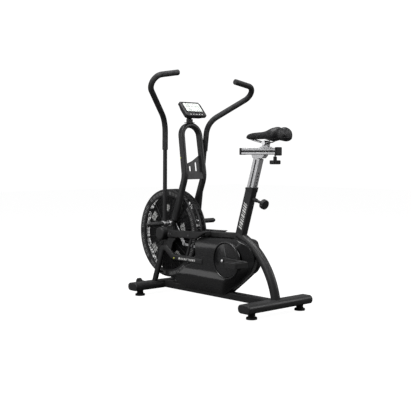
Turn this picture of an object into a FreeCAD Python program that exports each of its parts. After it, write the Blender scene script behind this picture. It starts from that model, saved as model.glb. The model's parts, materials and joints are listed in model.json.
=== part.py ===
"""Air bike: a fan-resistance exercise bike with rocking handles.

Frame: +Z up, +X to the rider's left, the rider faces -Y. The origin is on the floor, at the
centre of the overall box. All sizes are in millimetres.
"""
import FreeCAD, Part
import os
from math import asin, atan2, cos, degrees, hypot, pi, radians, sin, tan

V = FreeCAD.Vector
X_AXIS = V(1, 0, 0)
Y_AXIS = V(0, 1, 0)
Z_AXIS = V(0, 0, 1)
LEFT = 1
RIGHT = -1

# ---------------------------------------------------------------- driving dimensions
HALF_LENGTH = 602.0            # front of the fan guard to the middle of the bike's length
FIT = 0.05                     # radial clearance of a running fit
GAP = 0.5                      # clearance between neighbouring moving pieces

# base
STAB_DEPTH = 90.0              # stabiliser section, front to back
STAB_HEIGHT = 48.0
STAB_CORNER = 22.0
STAB_WALL = 3.0
STAB_HALF = 243.0              # half length of the stabiliser tube
CAP_LENGTH = 8.0
STAB_Z = 58.0
REAR_STAB_Y = HALF_LENGTH - STAB_DEPTH / 2
FRONT_STAB_Y = -417.0
BASE_TUBE = (50.0, 42.0)
BASE_TUBE_Z = STAB_Z
BASE_TUBE_TOP = BASE_TUBE_Z + BASE_TUBE[1] / 2
FOOT_X = 190.0
FOOT_RADIUS = 30.0
FOOT_PAD = 12.0
WHEEL_X = 142.0
WHEEL_Y = -488.0
WHEEL_Z = 71.0
WHEEL_RADIUS = 24.0
WHEEL_WIDTH = 20.0

# fan and its guard
FAN_RADIUS = 272.0
FAN_Y = FAN_RADIUS - HALF_LENGTH
FAN_Z = 384.0
GUARD_HALF = 44.0              # half width over the guard
GUARD_SHEET = 3.0
GUARD_BARS = 16
GUARD_RADII = (36.0, 78.0, 120.0, 162.0, 198.0, 238.0)
BLADES = 8
BLADE_TIP = 250.0
FAN_DISC = 228.0
BLADE_HALF = 28.0
HUB_COVER_RADIUS = 39.0
HUB_COVER_OUT = 108.0
GUARD_STANDOFFS = ((-386.0, 140.0), (-82.0, 374.0))

# side frames: plates, levers, link rods and tubes lie side by side, from the fan outwards
CHAIN_PLANE = (45.5, 52.5)
PLATE_PLANE = (54.0, 58.0)
LEVER_PLANE = (59.0, 63.5)
ROD_PLANE = (64.0, 68.0)
SIDE_X = 81.0                  # middle of the side tubes
SIDE_WIDTH = 24.0
SIDE_IN = SIDE_X - SIDE_WIDTH / 2
SIDE_OUT = SIDE_X + SIDE_WIDTH / 2

# rocking handles
PIVOT_Y = -241.0
PIVOT_Z = 453.0
REST_ROCK = 6.5                # left handle leans forward and right handle back by this, degrees
HALF_ROCK = 13.0               # travel each side of the middle
ARM_TUBE = 12.7                # outside radius
ARM_BORE = 10.5
GRIP_RADIUS = 17.0
ARM_FOOT_X = 134.0
ARM_KNEE = (108.0, 45.0, 618.0)       # corner points of the bent tube, from the pivot
ARM_ELBOW = (373.0, 219.0, 838.0)
ARM_END = (140.0, 231.0, 875.0)
KNEE_BEND = 130.0
ELBOW_BEND = 63.0
GRIP_START = 0.72              # where the foam starts, as a share of foot to knee
LEVER_LENGTH = 154.0
LEVER_ANGLE = -57.5            # of the middle position, from +Y towards +Z
AXLE_R = 8.0
SLEEVE_R = 13.0
HOUSING_R = 24.0
PEG_END = 272.0

# crank and pedals
CRANK_Y = 255.0
CRANK_Z = 274.0
CRANK_THROW = 29.0             # radius of the link pins
CRANK_LENGTH = 170.0
CRANK_ARM_IN = 103.0
CRANK_ARM_OUT = 119.0
PEDAL_IN = 127.0
PEDAL_OUT = 226.0
CHAINRING_TEETH = 42
CHAINRING_R = 85.5
FAN_TEETH = 12
FAN_SPROCKET_R = 24.4

# crank strut, from the base tube up to the crank axle's shell
STRUT_FOOT = (166.0, 60.0)     # (y, z) of its front corners
STRUT_TOP = (238.0, 262.0)
STRUT_DEPTH = 30.0
STRUT_HALF = 14.0

# shroud: corner points (y, z) of its side view, and (x, z) of its cross-section
SHROUD_FRONT = (-22.0, 362.0)
SHROUD_DECK = ((4.0, 382.0), (200.0, 389.0), (300.0, 391.0))
SHROUD_REAR_HIGH = (382.0, 354.0)
SHROUD_REAR = (412.0, 285.0)
SHROUD_REAR_LOW = (404.0, 243.0)
SHROUD_HEEL = (374.0, 203.0)
SHROUD_UNDER = ((294.0, 138.0), (205.0, 80.0), (190.0, 67.0), (-186.0, 67.0), (-226.0, 114.0),
                (-158.0, 164.0), (-104.0, 208.0), (-60.0, 226.0), (-38.0, 232.0), (-38.0, 262.0),
                (-16.0, 275.0))
SHROUD_SIDE = ((44.0, 67.0), (97.0, 152.0), (90.0, 192.0), (90.0, 345.0), (62.0, 400.0))
SHROUD_WALL = 3.0
SHROUD_MOUTH = 98.0            # radius of the round opening
BILGE_START = (306.0, 142.0)   # the slanted cut at the lower rear corner starts here
BILGE_DROP = 62.0

# seat
SEAT_LEAN = 17.5               # of the seat tube from the vertical, degrees
SEAT_Y = 365.0                 # a point on the seat tube's axis
SEAT_Z = 680.0
SEAT_TUBE = (42.0, 58.0)
SEAT_TUBE_SPAN = (282.0, 690.0)       # heights of its ends on the axis
SEAT_TUBE_CORNER = 6.0
SEAT_TUBE_WALL = 3.0
COLLAR_TOP = 687.0             # the tube and its collar are cut level
COLLAR_OUT = 5.0               # how much wider the collar is than the tube
PIN_Z = 631.0                  # height of the locking pin on the axis
PIN_KNOB_OUT = 105.0           # its knob's distance from the axis
POST = (35.0, 50.0)
POST_CORNER = 4.0
POST_GROOVE = 10.0
POST_LENGTH = 300.0
POST_TOP_Z = 850.0
RAIL_Y = (292.0, 560.0)
RAIL_Z = (868.0, 905.0)
RAIL_WIDTH = 40.0
RAIL_KNOB_Y = 542.0
CARRIAGE_Y = 473.0
SADDLE_PIVOT_Z = 932.0
RAIL_WIRE = 3.5                # radius of the saddle's wires
SADDLE_Y = (325.0, 602.0)
SADDLE_HALF = 95.0

# upright and console
UPRIGHT_FOOT = (72.0, -222.0, 476.0)  # corner points of the left leg
UPRIGHT_KNEE = (74.0, -122.0, 735.0)
UPRIGHT_TOP = (69.0, -167.0, 1045.0)
UPRIGHT_TUBE = (29.0, 42.0)
CONSOLE_TILT = 48.0            # of the screen from the horizontal
SCREEN_CENTRE = V(0, -141, 1150)
SCREEN = (121.0, 66.0)
BUTTON_X = (-36.0, 0.0, 36.0)
BUTTON_Y = 47.0
BUTTON_R = 6.5
CASE_SIZE = (162.0, 116.0)
CONSOLE_HINGE = (-170.0, 1092.0)


# ---------------------------------------------------------------- helpers
def box(x, y, z):
    """A box from three (low, high) pairs."""
    return Part.makeBox(x[1] - x[0], y[1] - y[0], z[1] - z[0], V(x[0], y[0], z[0]))


def cyl_x(y, z, radius, x0, x1):
    """A cylinder along X between two places, given in either order."""
    low = min(x0, x1)
    return Part.makeCylinder(radius, abs(x1 - x0), V(low, y, z), X_AXIS)


def ring_x(y, z, outer, inner, x0, x1):
    """A plain ring along X."""
    return cyl_x(y, z, outer, x0, x1).cut(cyl_x(y, z, inner, x0, x1))


def rounded_path(points, radii, closed=False):
    """Straight runs joined by tangent arcs. radii gives one radius, or one for each corner."""
    count = len(points)
    corners = range(count) if closed else range(1, count - 1)
    if not isinstance(radii, (list, tuple)):
        radii = [radii] * len(corners)
    trims = {}
    for radius, i in zip(radii, corners):
        corner = points[i]
        u = (points[i - 1] - corner).normalize()
        v = (points[(i + 1) % count] - corner).normalize()
        half = u.getAngle(v) / 2
        if radius <= 0 or half > radians(89.9):
            trims[i] = (corner, corner, corner)
            continue
        reach = radius / tan(half)
        centre = corner + (u + v).normalize() * (radius / sin(half))
        middle = centre + (corner - centre).normalize() * radius
        trims[i] = (corner + u * reach, middle, corner + v * reach)
    edges = []
    spans = range(count) if closed else range(count - 1)
    for i in spans:
        j = (i + 1) % count
        start = trims[i][2] if i in trims else points[i]
        end = trims[j][0] if j in trims else points[j]
        if start.distanceToPoint(end) > 1e-4:
            edges.append(Part.LineSegment(start, end).toShape())
        if j in trims and trims[j][0].distanceToPoint(trims[j][2]) > 1e-4:
            edges.append(Part.Arc(*trims[j]).toShape())
    return Part.Wire(edges)


def oval_face(centre, wide, deep, size, corner, wall=0.0):
    """A rounded rectangle with sides along wide and deep, hollow where wall is given."""
    def outline(width, depth, radius):
        half_w = wide * (width / 2)
        half_d = deep * (depth / 2)
        corners = [centre - half_w - half_d, centre + half_w - half_d,
                   centre + half_w + half_d, centre - half_w + half_d]
        return rounded_path(corners, radius, closed=True)
    outer = Part.Face(outline(size[0], size[1], corner))
    if not wall:
        return outer
    inner = Part.Face(outline(size[0] - 2 * wall, size[1] - 2 * wall, max(corner - wall, 1.0)))
    return outer.cut(inner)


def round_face(centre, normal, outer, inner=0.0):
    """A disc, or a washer where inner is given."""
    face = Part.Face(Part.Wire(Part.makeCircle(outer, centre, normal)))
    if not inner:
        return face
    return face.cut(Part.Face(Part.Wire(Part.makeCircle(inner, centre, normal))))


def sweep(path, face):
    """Sweeps a face along a path of tangent runs and arcs."""
    swept = path.makePipe(face)
    return swept.Solids[0]


def plate_x(points, x0, x1, corner=0.0):
    """A plate across X from an outline of (y, z) points."""
    low = min(x0, x1)
    wire = rounded_path([V(low, y, z) for y, z in points], corner, closed=True)
    return Part.Face(wire).extrude(V(abs(x1 - x0), 0, 0))


def plate_y(points, y0, y1, corner=0.0):
    """A plate across Y from an outline of (x, z) points."""
    wire = rounded_path([V(x, y0, z) for x, z in points], corner, closed=True)
    return Part.Face(wire).extrude(V(0, y1 - y0, 0))


def plate_z(points, z0, z1, corner=0.0):
    """A plate across Z from an outline of (x, y) points."""
    wire = rounded_path([V(x, y, z0) for x, y in points], corner, closed=True)
    return Part.Face(wire).extrude(V(0, 0, z1 - z0))


def tapered_bar_x(start, r0, end, r1, x0, x1):
    """A flat bar across X with a round end about each (y, z) point."""
    dy = end[0] - start[0]
    dz = end[1] - start[1]
    length = hypot(dy, dz)
    lean = atan2(dz, dy)
    turn = pi / 2 - asin((r0 - r1) / length)
    outline = []
    for point, radius in ((start, r0), (end, r1)):
        for sign in (1, -1):
            angle = lean + sign * turn
            outline.append((point[0] + radius * cos(angle), point[1] + radius * sin(angle)))
    low = min(x0, x1)
    corners = [outline[0], outline[2], outline[3], outline[1]]
    wire = Part.makePolygon([V(low, y, z) for y, z in corners + corners[:1]])
    bar = Part.Face(wire).extrude(V(abs(x1 - x0), 0, 0))
    bar = bar.fuse(cyl_x(start[0], start[1], r0, x0, x1))
    return bar.fuse(cyl_x(end[0], end[1], r1, x0, x1)).removeSplitter()


def mirrored(shape):
    """The same piece on the other side of the bike."""
    return shape.mirror(V(0, 0, 0), X_AXIS)


def both_sides(shape):
    return [shape, mirrored(shape)]


def edges_where(shape, test):
    return [edge for edge in shape.Edges if test(edge)]


def along_x(edge):
    """Whether an edge is a straight line along X."""
    box_ = edge.BoundBox
    return box_.XLength > 1 and box_.YLength < 1e-3 and box_.ZLength < 1e-3


NODES = {}


def keep(name, shapes):
    """Stores one node: a solid, or a list of separate solids."""
    if not isinstance(shapes, (list, tuple)):
        shapes = [shapes]
    solids = [solid for shape in shapes for solid in shape.Solids]
    NODES[name] = solids[0] if len(solids) == 1 else Part.makeCompound(solids)
    return NODES[name]


# ---------------------------------------------------------------- base
def stabiliser_outline(y, grow=0.0):
    face = oval_face(V(-STAB_HALF, y, STAB_Z), Y_AXIS, Z_AXIS,
                     (STAB_DEPTH + 2 * grow, STAB_HEIGHT + 2 * grow), STAB_CORNER + grow)
    return face.extrude(V(2 * STAB_HALF, 0, 0))


def stabiliser(y):
    face = oval_face(V(-STAB_HALF, y, STAB_Z), Y_AXIS, Z_AXIS, (STAB_DEPTH, STAB_HEIGHT),
                     STAB_CORNER, STAB_WALL)
    return face.extrude(V(2 * STAB_HALF, 0, 0))


def end_cap(y):
    """A pushed-in cap with a rounded outer face."""
    face = oval_face(V(STAB_HALF, y, STAB_Z), Y_AXIS, Z_AXIS, (STAB_DEPTH, STAB_HEIGHT), STAB_CORNER)
    lid = face.extrude(V(CAP_LENGTH, 0, 0))
    rim = edges_where(lid, lambda e: e.BoundBox.XMin > STAB_HALF + CAP_LENGTH - 0.01)
    lid = lid.makeFillet(6.0, rim)
    inset = 2 * (STAB_WALL + 0.2)
    plug = oval_face(V(STAB_HALF - 16, y, STAB_Z), Y_AXIS, Z_AXIS,
                     (STAB_DEPTH - inset, STAB_HEIGHT - inset), STAB_CORNER - inset / 2)
    return lid.fuse(plug.extrude(V(16, 0, 0))).removeSplitter()


def base_tube():
    face = oval_face(V(0, FRONT_STAB_Y + 30, BASE_TUBE_Z), X_AXIS, Z_AXIS, BASE_TUBE, 7.0, 2.0)
    tube = face.extrude(V(0, REAR_STAB_Y - FRONT_STAB_Y - 60, 0))
    return tube.cut(stabiliser_outline(FRONT_STAB_Y)).cut(stabiliser_outline(REAR_STAB_Y))


def foot(x, y):
    """A levelling foot: a pad, a grip skirt and the screw that turns in the tube."""
    top = STAB_Z - STAB_HEIGHT / 2 - GAP
    pad = Part.makeCylinder(FOOT_RADIUS, FOOT_PAD, V(x, y, 0))
    pad = pad.makeFillet(3.0, edges_where(pad, lambda e: e.BoundBox.ZMin > 1))
    skirt = Part.makeCylinder(20.0, top - FOOT_PAD, V(x, y, FOOT_PAD))
    return pad.fuse(skirt).removeSplitter()


def transport_wheel(side):
    x = side * WHEEL_X
    half = WHEEL_WIDTH / 2
    tread = cyl_x(WHEEL_Y, WHEEL_Z, WHEEL_RADIUS, x - half, x + half)
    tread = tread.makeFillet(3.0, edges_where(tread, lambda e: e.BoundBox.YLength > WHEEL_RADIUS))
    spindle = cyl_x(WHEEL_Y, WHEEL_Z, 4.0, x - half - 7, x + half + 7)
    return tread.fuse(spindle)


def wheel_lugs(side):
    """The two ears that carry one transport wheel."""
    lugs = []
    for edge in (-1, 1):
        x = side * WHEEL_X + edge * (WHEEL_WIDTH / 2 + 3)
        ear = plate_x([(WHEEL_Y - 11, WHEEL_Z - 11), (FRONT_STAB_Y, WHEEL_Z - 25),
                       (FRONT_STAB_Y, WHEEL_Z + 8), (WHEEL_Y - 11, WHEEL_Z + 11)],
                      x - 1.5, x + 1.5, 5.0)
        ear = ear.cut(stabiliser_outline(FRONT_STAB_Y))
        lugs.append(ear.cut(cyl_x(WHEEL_Y, WHEEL_Z, 4.0 + FIT, x - 3, x + 3)))
    return lugs


def build_base():
    keep("front_stabiliser", stabiliser(FRONT_STAB_Y))
    keep("rear_stabiliser", stabiliser(REAR_STAB_Y))
    caps = both_sides(end_cap(FRONT_STAB_Y)) + both_sides(end_cap(REAR_STAB_Y))
    keep("stabiliser_end_caps", caps)
    keep("base_tube", base_tube())
    keep("foot_front_left", foot(FOOT_X, FRONT_STAB_Y))
    keep("foot_front_right", foot(-FOOT_X, FRONT_STAB_Y))
    keep("foot_rear_left", foot(FOOT_X, REAR_STAB_Y))
    keep("foot_rear_right", foot(-FOOT_X, REAR_STAB_Y))
    keep("transport_wheel_left", transport_wheel(LEFT))
    keep("transport_wheel_right", transport_wheel(RIGHT))


# ---------------------------------------------------------------- side frames
def side_tube():
    """Front leg and lower stay: one flat tube bent down at the front and back at the bottom."""
    points = [V(SIDE_X, -414, 66), V(SIDE_X, -318, 318), V(SIDE_X, -222, 250), V(SIDE_X, 48, 244)]
    path = rounded_path(points, [34.0, 60.0])
    start = (points[1] - points[0]).normalize()
    face = oval_face(points[0], X_AXIS, X_AXIS.cross(start), (SIDE_WIDTH, 36.0), 9.0, 2.5)
    plug = box((SIDE_IN + 2, SIDE_OUT - 2), (42, 48), (228, 260))
    return sweep(path, face).fuse(plug).cut(stabiliser_outline(FRONT_STAB_Y))


def upper_stay():
    """The thick flat bar beside the fan, cut on the slant at its rear end."""
    points = [(-271, 367), (-6, 374), (80, 421), (-271, 413)]
    bar = plate_x(points, SIDE_IN, SIDE_OUT)
    outer = edges_where(bar, lambda e: e.BoundBox.XLength < 0.01)
    bar = bar.makeFillet(7.0, outer)
    core = [(-262, 373), (-10, 380), (96, 443), (-262, 407)]
    return bar.cut(plate_x(core, SIDE_IN + 3, SIDE_OUT - 3))


def dropout_plate():
    """The inner plate that holds the fan axle and the handle pivot."""
    outline = [(-356, 366), (-356, 404), (-262, 480), (-218, 474), (-203, 420), (-215, 366),
               (-288, 300), (-336, 304)]
    plate = plate_x(outline, *PLATE_PLANE, corner=10.0)
    plate = plate.cut(cyl_x(FAN_Y, FAN_Z, 8.5, *PLATE_PLANE))
    plate = plate.cut(cyl_x(PIVOT_Y, PIVOT_Z, AXLE_R, *PLATE_PLANE))
    for y, z in (((-270, -246), (374, 406)), ((-334, -300), (306, 330))):
        plate = plate.fuse(box((PLATE_PLANE[1], SIDE_IN), y, z))
    return plate.removeSplitter()


def gusset():
    """The web that ties the front end of the upper stay down to the bent tube."""
    web = plate_x([(-268, 362), (-196, 362), (-226, 338), (-240, 300), (-262, 280), (-300, 300)],
                  SIDE_X - 5, SIDE_X + 5, 3.0)
    return web


def brace():
    """The slanted strap between the upper and the lower stay."""
    return plate_x([(-62, 380), (-46, 380), (-96, 250), (-112, 250)], SIDE_X - 4, SIDE_X + 4)


def pivot_housing():
    """The bearing block on the upper stay, in which a handle's sleeve turns."""
    block = cyl_x(PIVOT_Y, PIVOT_Z, HOUSING_R, 70, 92)
    web = plate_x([(-266, 405), (-216, 405), (-222, 450), (-260, 450)], 72, 90)
    block = block.fuse(web).cut(cyl_x(PIVOT_Y, PIVOT_Z, 17.0, 70, 92))
    return block.removeSplitter()


def foot_peg():
    """The fixed axle of a handle and the foot peg on its outer end, turned as one."""
    axle = cyl_x(PIVOT_Y, PIVOT_Z, AXLE_R, 50.5, 155)
    head = cyl_x(PIVOT_Y, PIVOT_Z, 12.0, 50.5, PLATE_PLANE[0])
    peg = cyl_x(PIVOT_Y, PIVOT_Z, 14.5, 154, PEG_END - 12)
    tip = Part.makeCone(14.5, 9.0, 12.0, V(PEG_END - 12, PIVOT_Y, PIVOT_Z), X_AXIS)
    whole = axle.fuse([head, peg, tip]).removeSplitter()
    for step in range(7):
        x = 176.0 + 12 * step
        whole = whole.cut(ring_x(PIVOT_Y, PIVOT_Z, 16.0, 13.5, x, x + 3))
    return whole


def build_side_frames():
    tube = side_tube()
    stay = upper_stay()
    plate = dropout_plate().cut(tube).cut(stay)
    web = gusset().cut(tube).cut(stay)
    strap = brace().cut(tube).cut(stay)
    keep("side_tubes", both_sides(tube))
    keep("upper_stays", both_sides(stay.fuse(pivot_housing()).removeSplitter()))
    plates = both_sides(plate) + both_sides(web) + both_sides(strap)
    for y, z in GUARD_STANDOFFS:
        plates += both_sides(cyl_x(y, z, 6.0, GUARD_HALF, SIDE_IN))
    keep("frame_plates", plates + wheel_lugs(LEFT) + wheel_lugs(RIGHT))
    keep("foot_pegs", both_sides(foot_peg()))


# ---------------------------------------------------------------- main frame
def seat_axis_point(z):
    return V(0, SEAT_Y + (z - SEAT_Z) * tan(radians(SEAT_LEAN)), z)


SEAT_UP = V(0, sin(radians(SEAT_LEAN)), cos(radians(SEAT_LEAN)))
SEAT_BACK = V(0, cos(radians(SEAT_LEAN)), -sin(radians(SEAT_LEAN)))


def seat_bar(z0, z1, size, corner, wall=0.0):
    """A straight piece of rectangular tube on the seat tube's axis."""
    start = seat_axis_point(z0)
    length = (z1 - z0) / cos(radians(SEAT_LEAN))
    return oval_face(start, X_AXIS, SEAT_BACK, size, corner, wall).extrude(SEAT_UP * length)


def rear_leg(outer, inner=0.0):
    """The arched tube from the seat tube down to the rear stabiliser."""
    top = V(0, 311, 394)
    arch = Part.Arc(top, V(0, 468, 266), V(0, 551, 82))
    first = arch.tangent(arch.FirstParameter)[0].normalize()
    last = arch.tangent(arch.LastParameter)[0].normalize()
    start = top - first * 50
    runs = [Part.LineSegment(start, top).toShape(), arch.toShape(),
            Part.LineSegment(V(0, 551, 82), V(0, 551, 82) + last * 24).toShape()]
    return sweep(Part.Wire(runs), round_face(start, first, outer, inner))


def top_tube():
    bar = plate_x([(-4, 383), (300, 393), (300, 426), (-4, 416)], -18, 18)
    bar = bar.makeFillet(7.0, edges_where(bar, lambda e: e.BoundBox.YLength > 200))
    bar = bar.cut(plate_x([(-10, 386), (310, 396), (310, 423), (-10, 413)], -15, 15))
    crosses = [box((x, x + SIDE_IN - 18), (16, 50), (398, 420)) for x in (-SIDE_IN, 18)]
    return bar.fuse(crosses).removeSplitter()


def strut_outline(low, high, spare=0.0):
    """Side view of the crank strut between two heights, made wider by the spare."""
    lean = (STRUT_TOP[0] - STRUT_FOOT[0]) / (STRUT_TOP[1] - STRUT_FOOT[1])
    foot, top = (STRUT_FOOT[0] + (z - STRUT_FOOT[1]) * lean for z in (low, high))
    return [(foot - spare, low), (foot + STRUT_DEPTH + spare, low),
            (top + STRUT_DEPTH + spare, high), (top - spare, high)]


def bottom_bracket_shell():
    """The shell round the crank axle, on a strut from the base tube."""
    shell = cyl_x(CRANK_Y, CRANK_Z, 22.0, -34, 34)
    strut = plate_x(strut_outline(STRUT_FOOT[1], STRUT_TOP[1]), -STRUT_HALF, STRUT_HALF)
    strut = strut.makeFillet(5.0, edges_where(strut, lambda e: e.BoundBox.ZLength > 100))
    base = box((-25, 25), (FRONT_STAB_Y, REAR_STAB_Y), (0, BASE_TUBE_TOP))
    whole = shell.fuse(strut).cut(base)
    return whole.cut(cyl_x(CRANK_Y, CRANK_Z, 17.5, -34, 34)).removeSplitter()


def build_main_frame():
    shell = bottom_bracket_shell()
    shell_outer = cyl_x(CRANK_Y, CRANK_Z, 22.0, -34, 34)
    tube_outer = seat_bar(*SEAT_TUBE_SPAN, SEAT_TUBE, SEAT_TUBE_CORNER)
    tube = seat_bar(*SEAT_TUBE_SPAN, SEAT_TUBE, SEAT_TUBE_CORNER, SEAT_TUBE_WALL)
    tube = tube.cut(shell_outer).cut(shell)
    above_collar = box((-40, 40), (300, 450), (COLLAR_TOP, COLLAR_TOP + 40))
    tube = tube.cut(above_collar)
    leg = rear_leg(26.0, 23.5).cut(stabiliser_outline(REAR_STAB_Y)).cut(tube_outer)
    leg_outer = rear_leg(26.0)
    bar = top_tube().cut(tube_outer).cut(leg_outer)
    front_bar = max(bar.Solids, key=lambda s: s.Volume)
    rear_part = max(leg.Solids, key=lambda s: s.Volume)
    keep("seat_tube", max(tube.Solids, key=lambda s: s.Volume))
    keep("rear_leg", rear_part)
    keep("top_tube", front_bar)
    keep("bottom_bracket_shell", shell.cut(tube_outer.cut(shell_outer)))
    collar = seat_bar(668, 694, [size + COLLAR_OUT for size in SEAT_TUBE], 9.0)
    collar = collar.cut(seat_bar(660, SEAT_TUBE_SPAN[1], SEAT_TUBE, SEAT_TUBE_CORNER))
    collar = collar.cut(seat_bar(660, 700, [size + 0.7 for size in POST], POST_CORNER + 0.4))
    collar = collar.cut(above_collar)
    keep("seat_tube_collar", collar)
    bushes = both_sides(ring_x(PIVOT_Y, PIVOT_Z, 17.0, SLEEVE_R + FIT, 70, 92))
    bearings = both_sides(ring_x(CRANK_Y, CRANK_Z, 17.5, 10.0 + FIT, 22, 34))
    keep("bearings_and_bushes", bushes + bearings)


# ---------------------------------------------------------------- upright
def upright_loop(wall=2.0):
    """One flat tube bent into an arch, with both legs kinked forward to the pivots."""
    def point(side, corner):
        return V(side * corner[0], corner[1], corner[2])
    points = [point(LEFT, UPRIGHT_FOOT), point(LEFT, UPRIGHT_KNEE), point(LEFT, UPRIGHT_TOP),
              point(RIGHT, UPRIGHT_TOP), point(RIGHT, UPRIGHT_KNEE), point(RIGHT, UPRIGHT_FOOT)]
    path = rounded_path(points, [120.0, 66.0, 66.0, 120.0])
    start = (points[1] - points[0]).normalize()
    wide = X_AXIS - start * X_AXIS.dot(start)
    wide.normalize()
    face = oval_face(points[0], wide, wide.cross(start), UPRIGHT_TUBE, 12.0, wall)
    return sweep(path, face)


def upright_panel():
    """The slotted panel and the cross bar between the legs."""
    inner = UPRIGHT_KNEE[0]
    bar = plate_y([(-inner, 722), (inner, 722), (inner, 760), (-inner, 760)], -136, -112)
    sheet = plate_y([(-inner, 758), (inner, 758), (inner, 806), (0, 834), (-inner, 878)], -128, -122)
    for x, top in ((27, 798), (-20, 820)):
        sheet = sheet.cut(plate_y([(x - 7, 770), (x + 7, 770), (x + 7, top), (x - 7, top + 8)],
                                  -130, -120, 4.0))
    whole = bar.fuse(sheet).removeSplitter()
    lean = degrees(atan2(UPRIGHT_KNEE[1] - UPRIGHT_TOP[1], UPRIGHT_TOP[2] - UPRIGHT_KNEE[2]))
    whole.rotate(V(0, UPRIGHT_KNEE[1], UPRIGHT_KNEE[2]), X_AXIS, lean)
    return whole


def build_upright():
    loop = upright_loop()
    legs = upright_loop(0.0)
    for side in (LEFT, RIGHT):
        loop = loop.cut(cyl_x(PIVOT_Y, PIVOT_Z, HOUSING_R, side * 50, side * 95))
    plates = NODES["frame_plates"]
    loop = loop.cut(plates)
    keep("upright_loop", max(loop.Solids, key=lambda s: s.Volume))
    panel = upright_panel().cut(legs)
    keep("upright_panel", max(panel.Solids, key=lambda s: s.Volume))


# ---------------------------------------------------------------- shroud
def shroud_block(inset):
    """The outside of the left half, or its inside where inset is the wall."""
    front = (-62, 328) if inset else SHROUD_FRONT
    side = [V(0, *front)] + [V(0, y, z - inset) for y, z in SHROUD_DECK]
    rear_high = V(0, SHROUD_REAR_HIGH[0] - inset, SHROUD_REAR_HIGH[1] - inset / 2)
    rear = V(0, SHROUD_REAR[0] - inset, SHROUD_REAR[1])
    rear_low = V(0, SHROUD_REAR_LOW[0] - inset, SHROUD_REAR_LOW[1])
    heel = V(0, SHROUD_HEEL[0] - inset, SHROUD_HEEL[1] + inset / 2)
    under = [V(0, y, z) for y, z in SHROUD_UNDER]
    if inset:
        # the inside runs straight out through the open front end
        floor = SHROUD_UNDER[2][1] + inset
        under = [V(0, y - 5, z + inset) for y, z in SHROUD_UNDER[:3]]
        under += [V(0, -290, floor), V(0, -290, 300)]
    runs = [Part.LineSegment(side[i], side[i + 1]).toShape() for i in range(3)]
    runs.append(Part.Arc(side[3], rear_high, rear).toShape())
    runs.append(Part.Arc(rear, rear_low, heel).toShape())
    chain = [heel] + under + [side[0]]
    runs += [Part.LineSegment(a, b).toShape() for a, b in zip(chain, chain[1:])]
    side_block = Part.Face(Part.Wire(runs)).extrude(V(110, 0, 0))
    across = [(x - inset, z) for x, z in SHROUD_SIDE]
    across[0] = (across[0][0], SHROUD_SIDE[0][1] + inset)
    section = plate_y([(-5, 50), (across[0][0], 50)] + across + [(-5, 400)], -320, 430)
    plan = plate_z([(-5, -320), (100, -320), (100, 294), (62 - inset, 355 - inset), (30, 406),
                    (-5, 425)], 40, 410)
    block = side_block.common(section).common(plan)
    # the lower rear corner is cut back along a slanted plane, like the bilge of a boat
    across_bilge = V(0, 0.62, -0.79)
    along_bilge = V(0, -across_bilge.z, across_bilge.y)
    start = V(0, *BILGE_START) - along_bilge * 400 - across_bilge * inset
    inner, outer = start - X_AXIS * 6, start + X_AXIS * 124
    edge = [inner + across_bilge * 3, inner + across_bilge * 300,
            outer + across_bilge * 300, outer - across_bilge * BILGE_DROP]
    bilge = Part.Face(Part.makePolygon(edge + edge[:1])).extrude(along_bilge * 900)
    block = block.cut(bilge.common(box((-6, 130), (150, 500), (40, 245))))
    low = box((GAP / 2, 110), (-320, 440), (40, 410))
    return block if inset else block.common(low)


def shroud_half(side, obstacles):
    """A half shell with a lipped round opening for the crank disc."""
    shell = shroud_block(0).cut(shroud_block(SHROUD_WALL))
    shell = shell.cut(cyl_x(CRANK_Y, CRANK_Z, SHROUD_MOUTH, 20, 110))
    if side == LEFT:
        lip = ring_x(CRANK_Y, CRANK_Z, 107.0, SHROUD_MOUTH, 84.0, 99.0)
        lip = lip.makeFillet(2.5, edges_where(lip, lambda e: e.BoundBox.XMin > 98.9))
    else:
        lip = ring_x(CRANK_Y, CRANK_Z, 100.0, 96.5, 80.0, 93.0)
    shell = shell.fuse(lip).removeSplitter()
    if side == RIGHT:
        shell = mirrored(shell)
    for other in obstacles:
        shell = shell.cut(other)
    return max(shell.Solids, key=lambda s: s.Volume)


def build_shroud():
    tube = seat_bar(*SEAT_TUBE_SPAN, [size + 2 * GAP for size in SEAT_TUBE], SEAT_TUBE_CORNER + GAP)
    leg = rear_leg(26.5)
    strut = plate_x(strut_outline(40.0, 180.0, GAP), -STRUT_HALF - GAP, STRUT_HALF + GAP)
    base = box((-BASE_TUBE[0] / 2 - GAP, BASE_TUBE[0] / 2 + GAP), (FRONT_STAB_Y, REAR_STAB_Y),
               (0, BASE_TUBE_TOP + GAP))
    stays = [box((s * SIDE_X - 12.5, s * SIDE_X + 12.5), (-140, 49), (222, 268))
             for s in (LEFT, RIGHT)]
    over = [(-60, 366), (-4, 372.5), (86, 427), (86, 440), (-60, 440)]
    stays += [plate_x(over, s * SIDE_X - 12.5, s * SIDE_X + 12.5) for s in (LEFT, RIGHT)]
    obstacles = [tube, leg, strut, base] + stays
    keep("shroud_left", shroud_half(LEFT, obstacles))
    keep("shroud_right", shroud_half(RIGHT, obstacles + [chain_band(12.0, 3.5)]))


# ---------------------------------------------------------------- fan
def at_angle(radius, angle, x):
    return V(x, FAN_Y + radius * cos(angle), FAN_Z + radius * sin(angle))


def ring_slot(inner, outer, start, end, x):
    """A wire round one opening of the guard: two arcs and two radial sides."""
    middle = (start + end) / 2
    runs = [Part.Arc(at_angle(inner, start, x), at_angle(inner, middle, x),
                     at_angle(inner, end, x)).toShape(),
            Part.LineSegment(at_angle(inner, end, x), at_angle(outer, end, x)).toShape(),
            Part.Arc(at_angle(outer, end, x), at_angle(outer, middle, x),
                     at_angle(outer, start, x)).toShape(),
            Part.LineSegment(at_angle(outer, start, x), at_angle(inner, start, x)).toShape()]
    return Part.Wire(runs)


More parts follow.
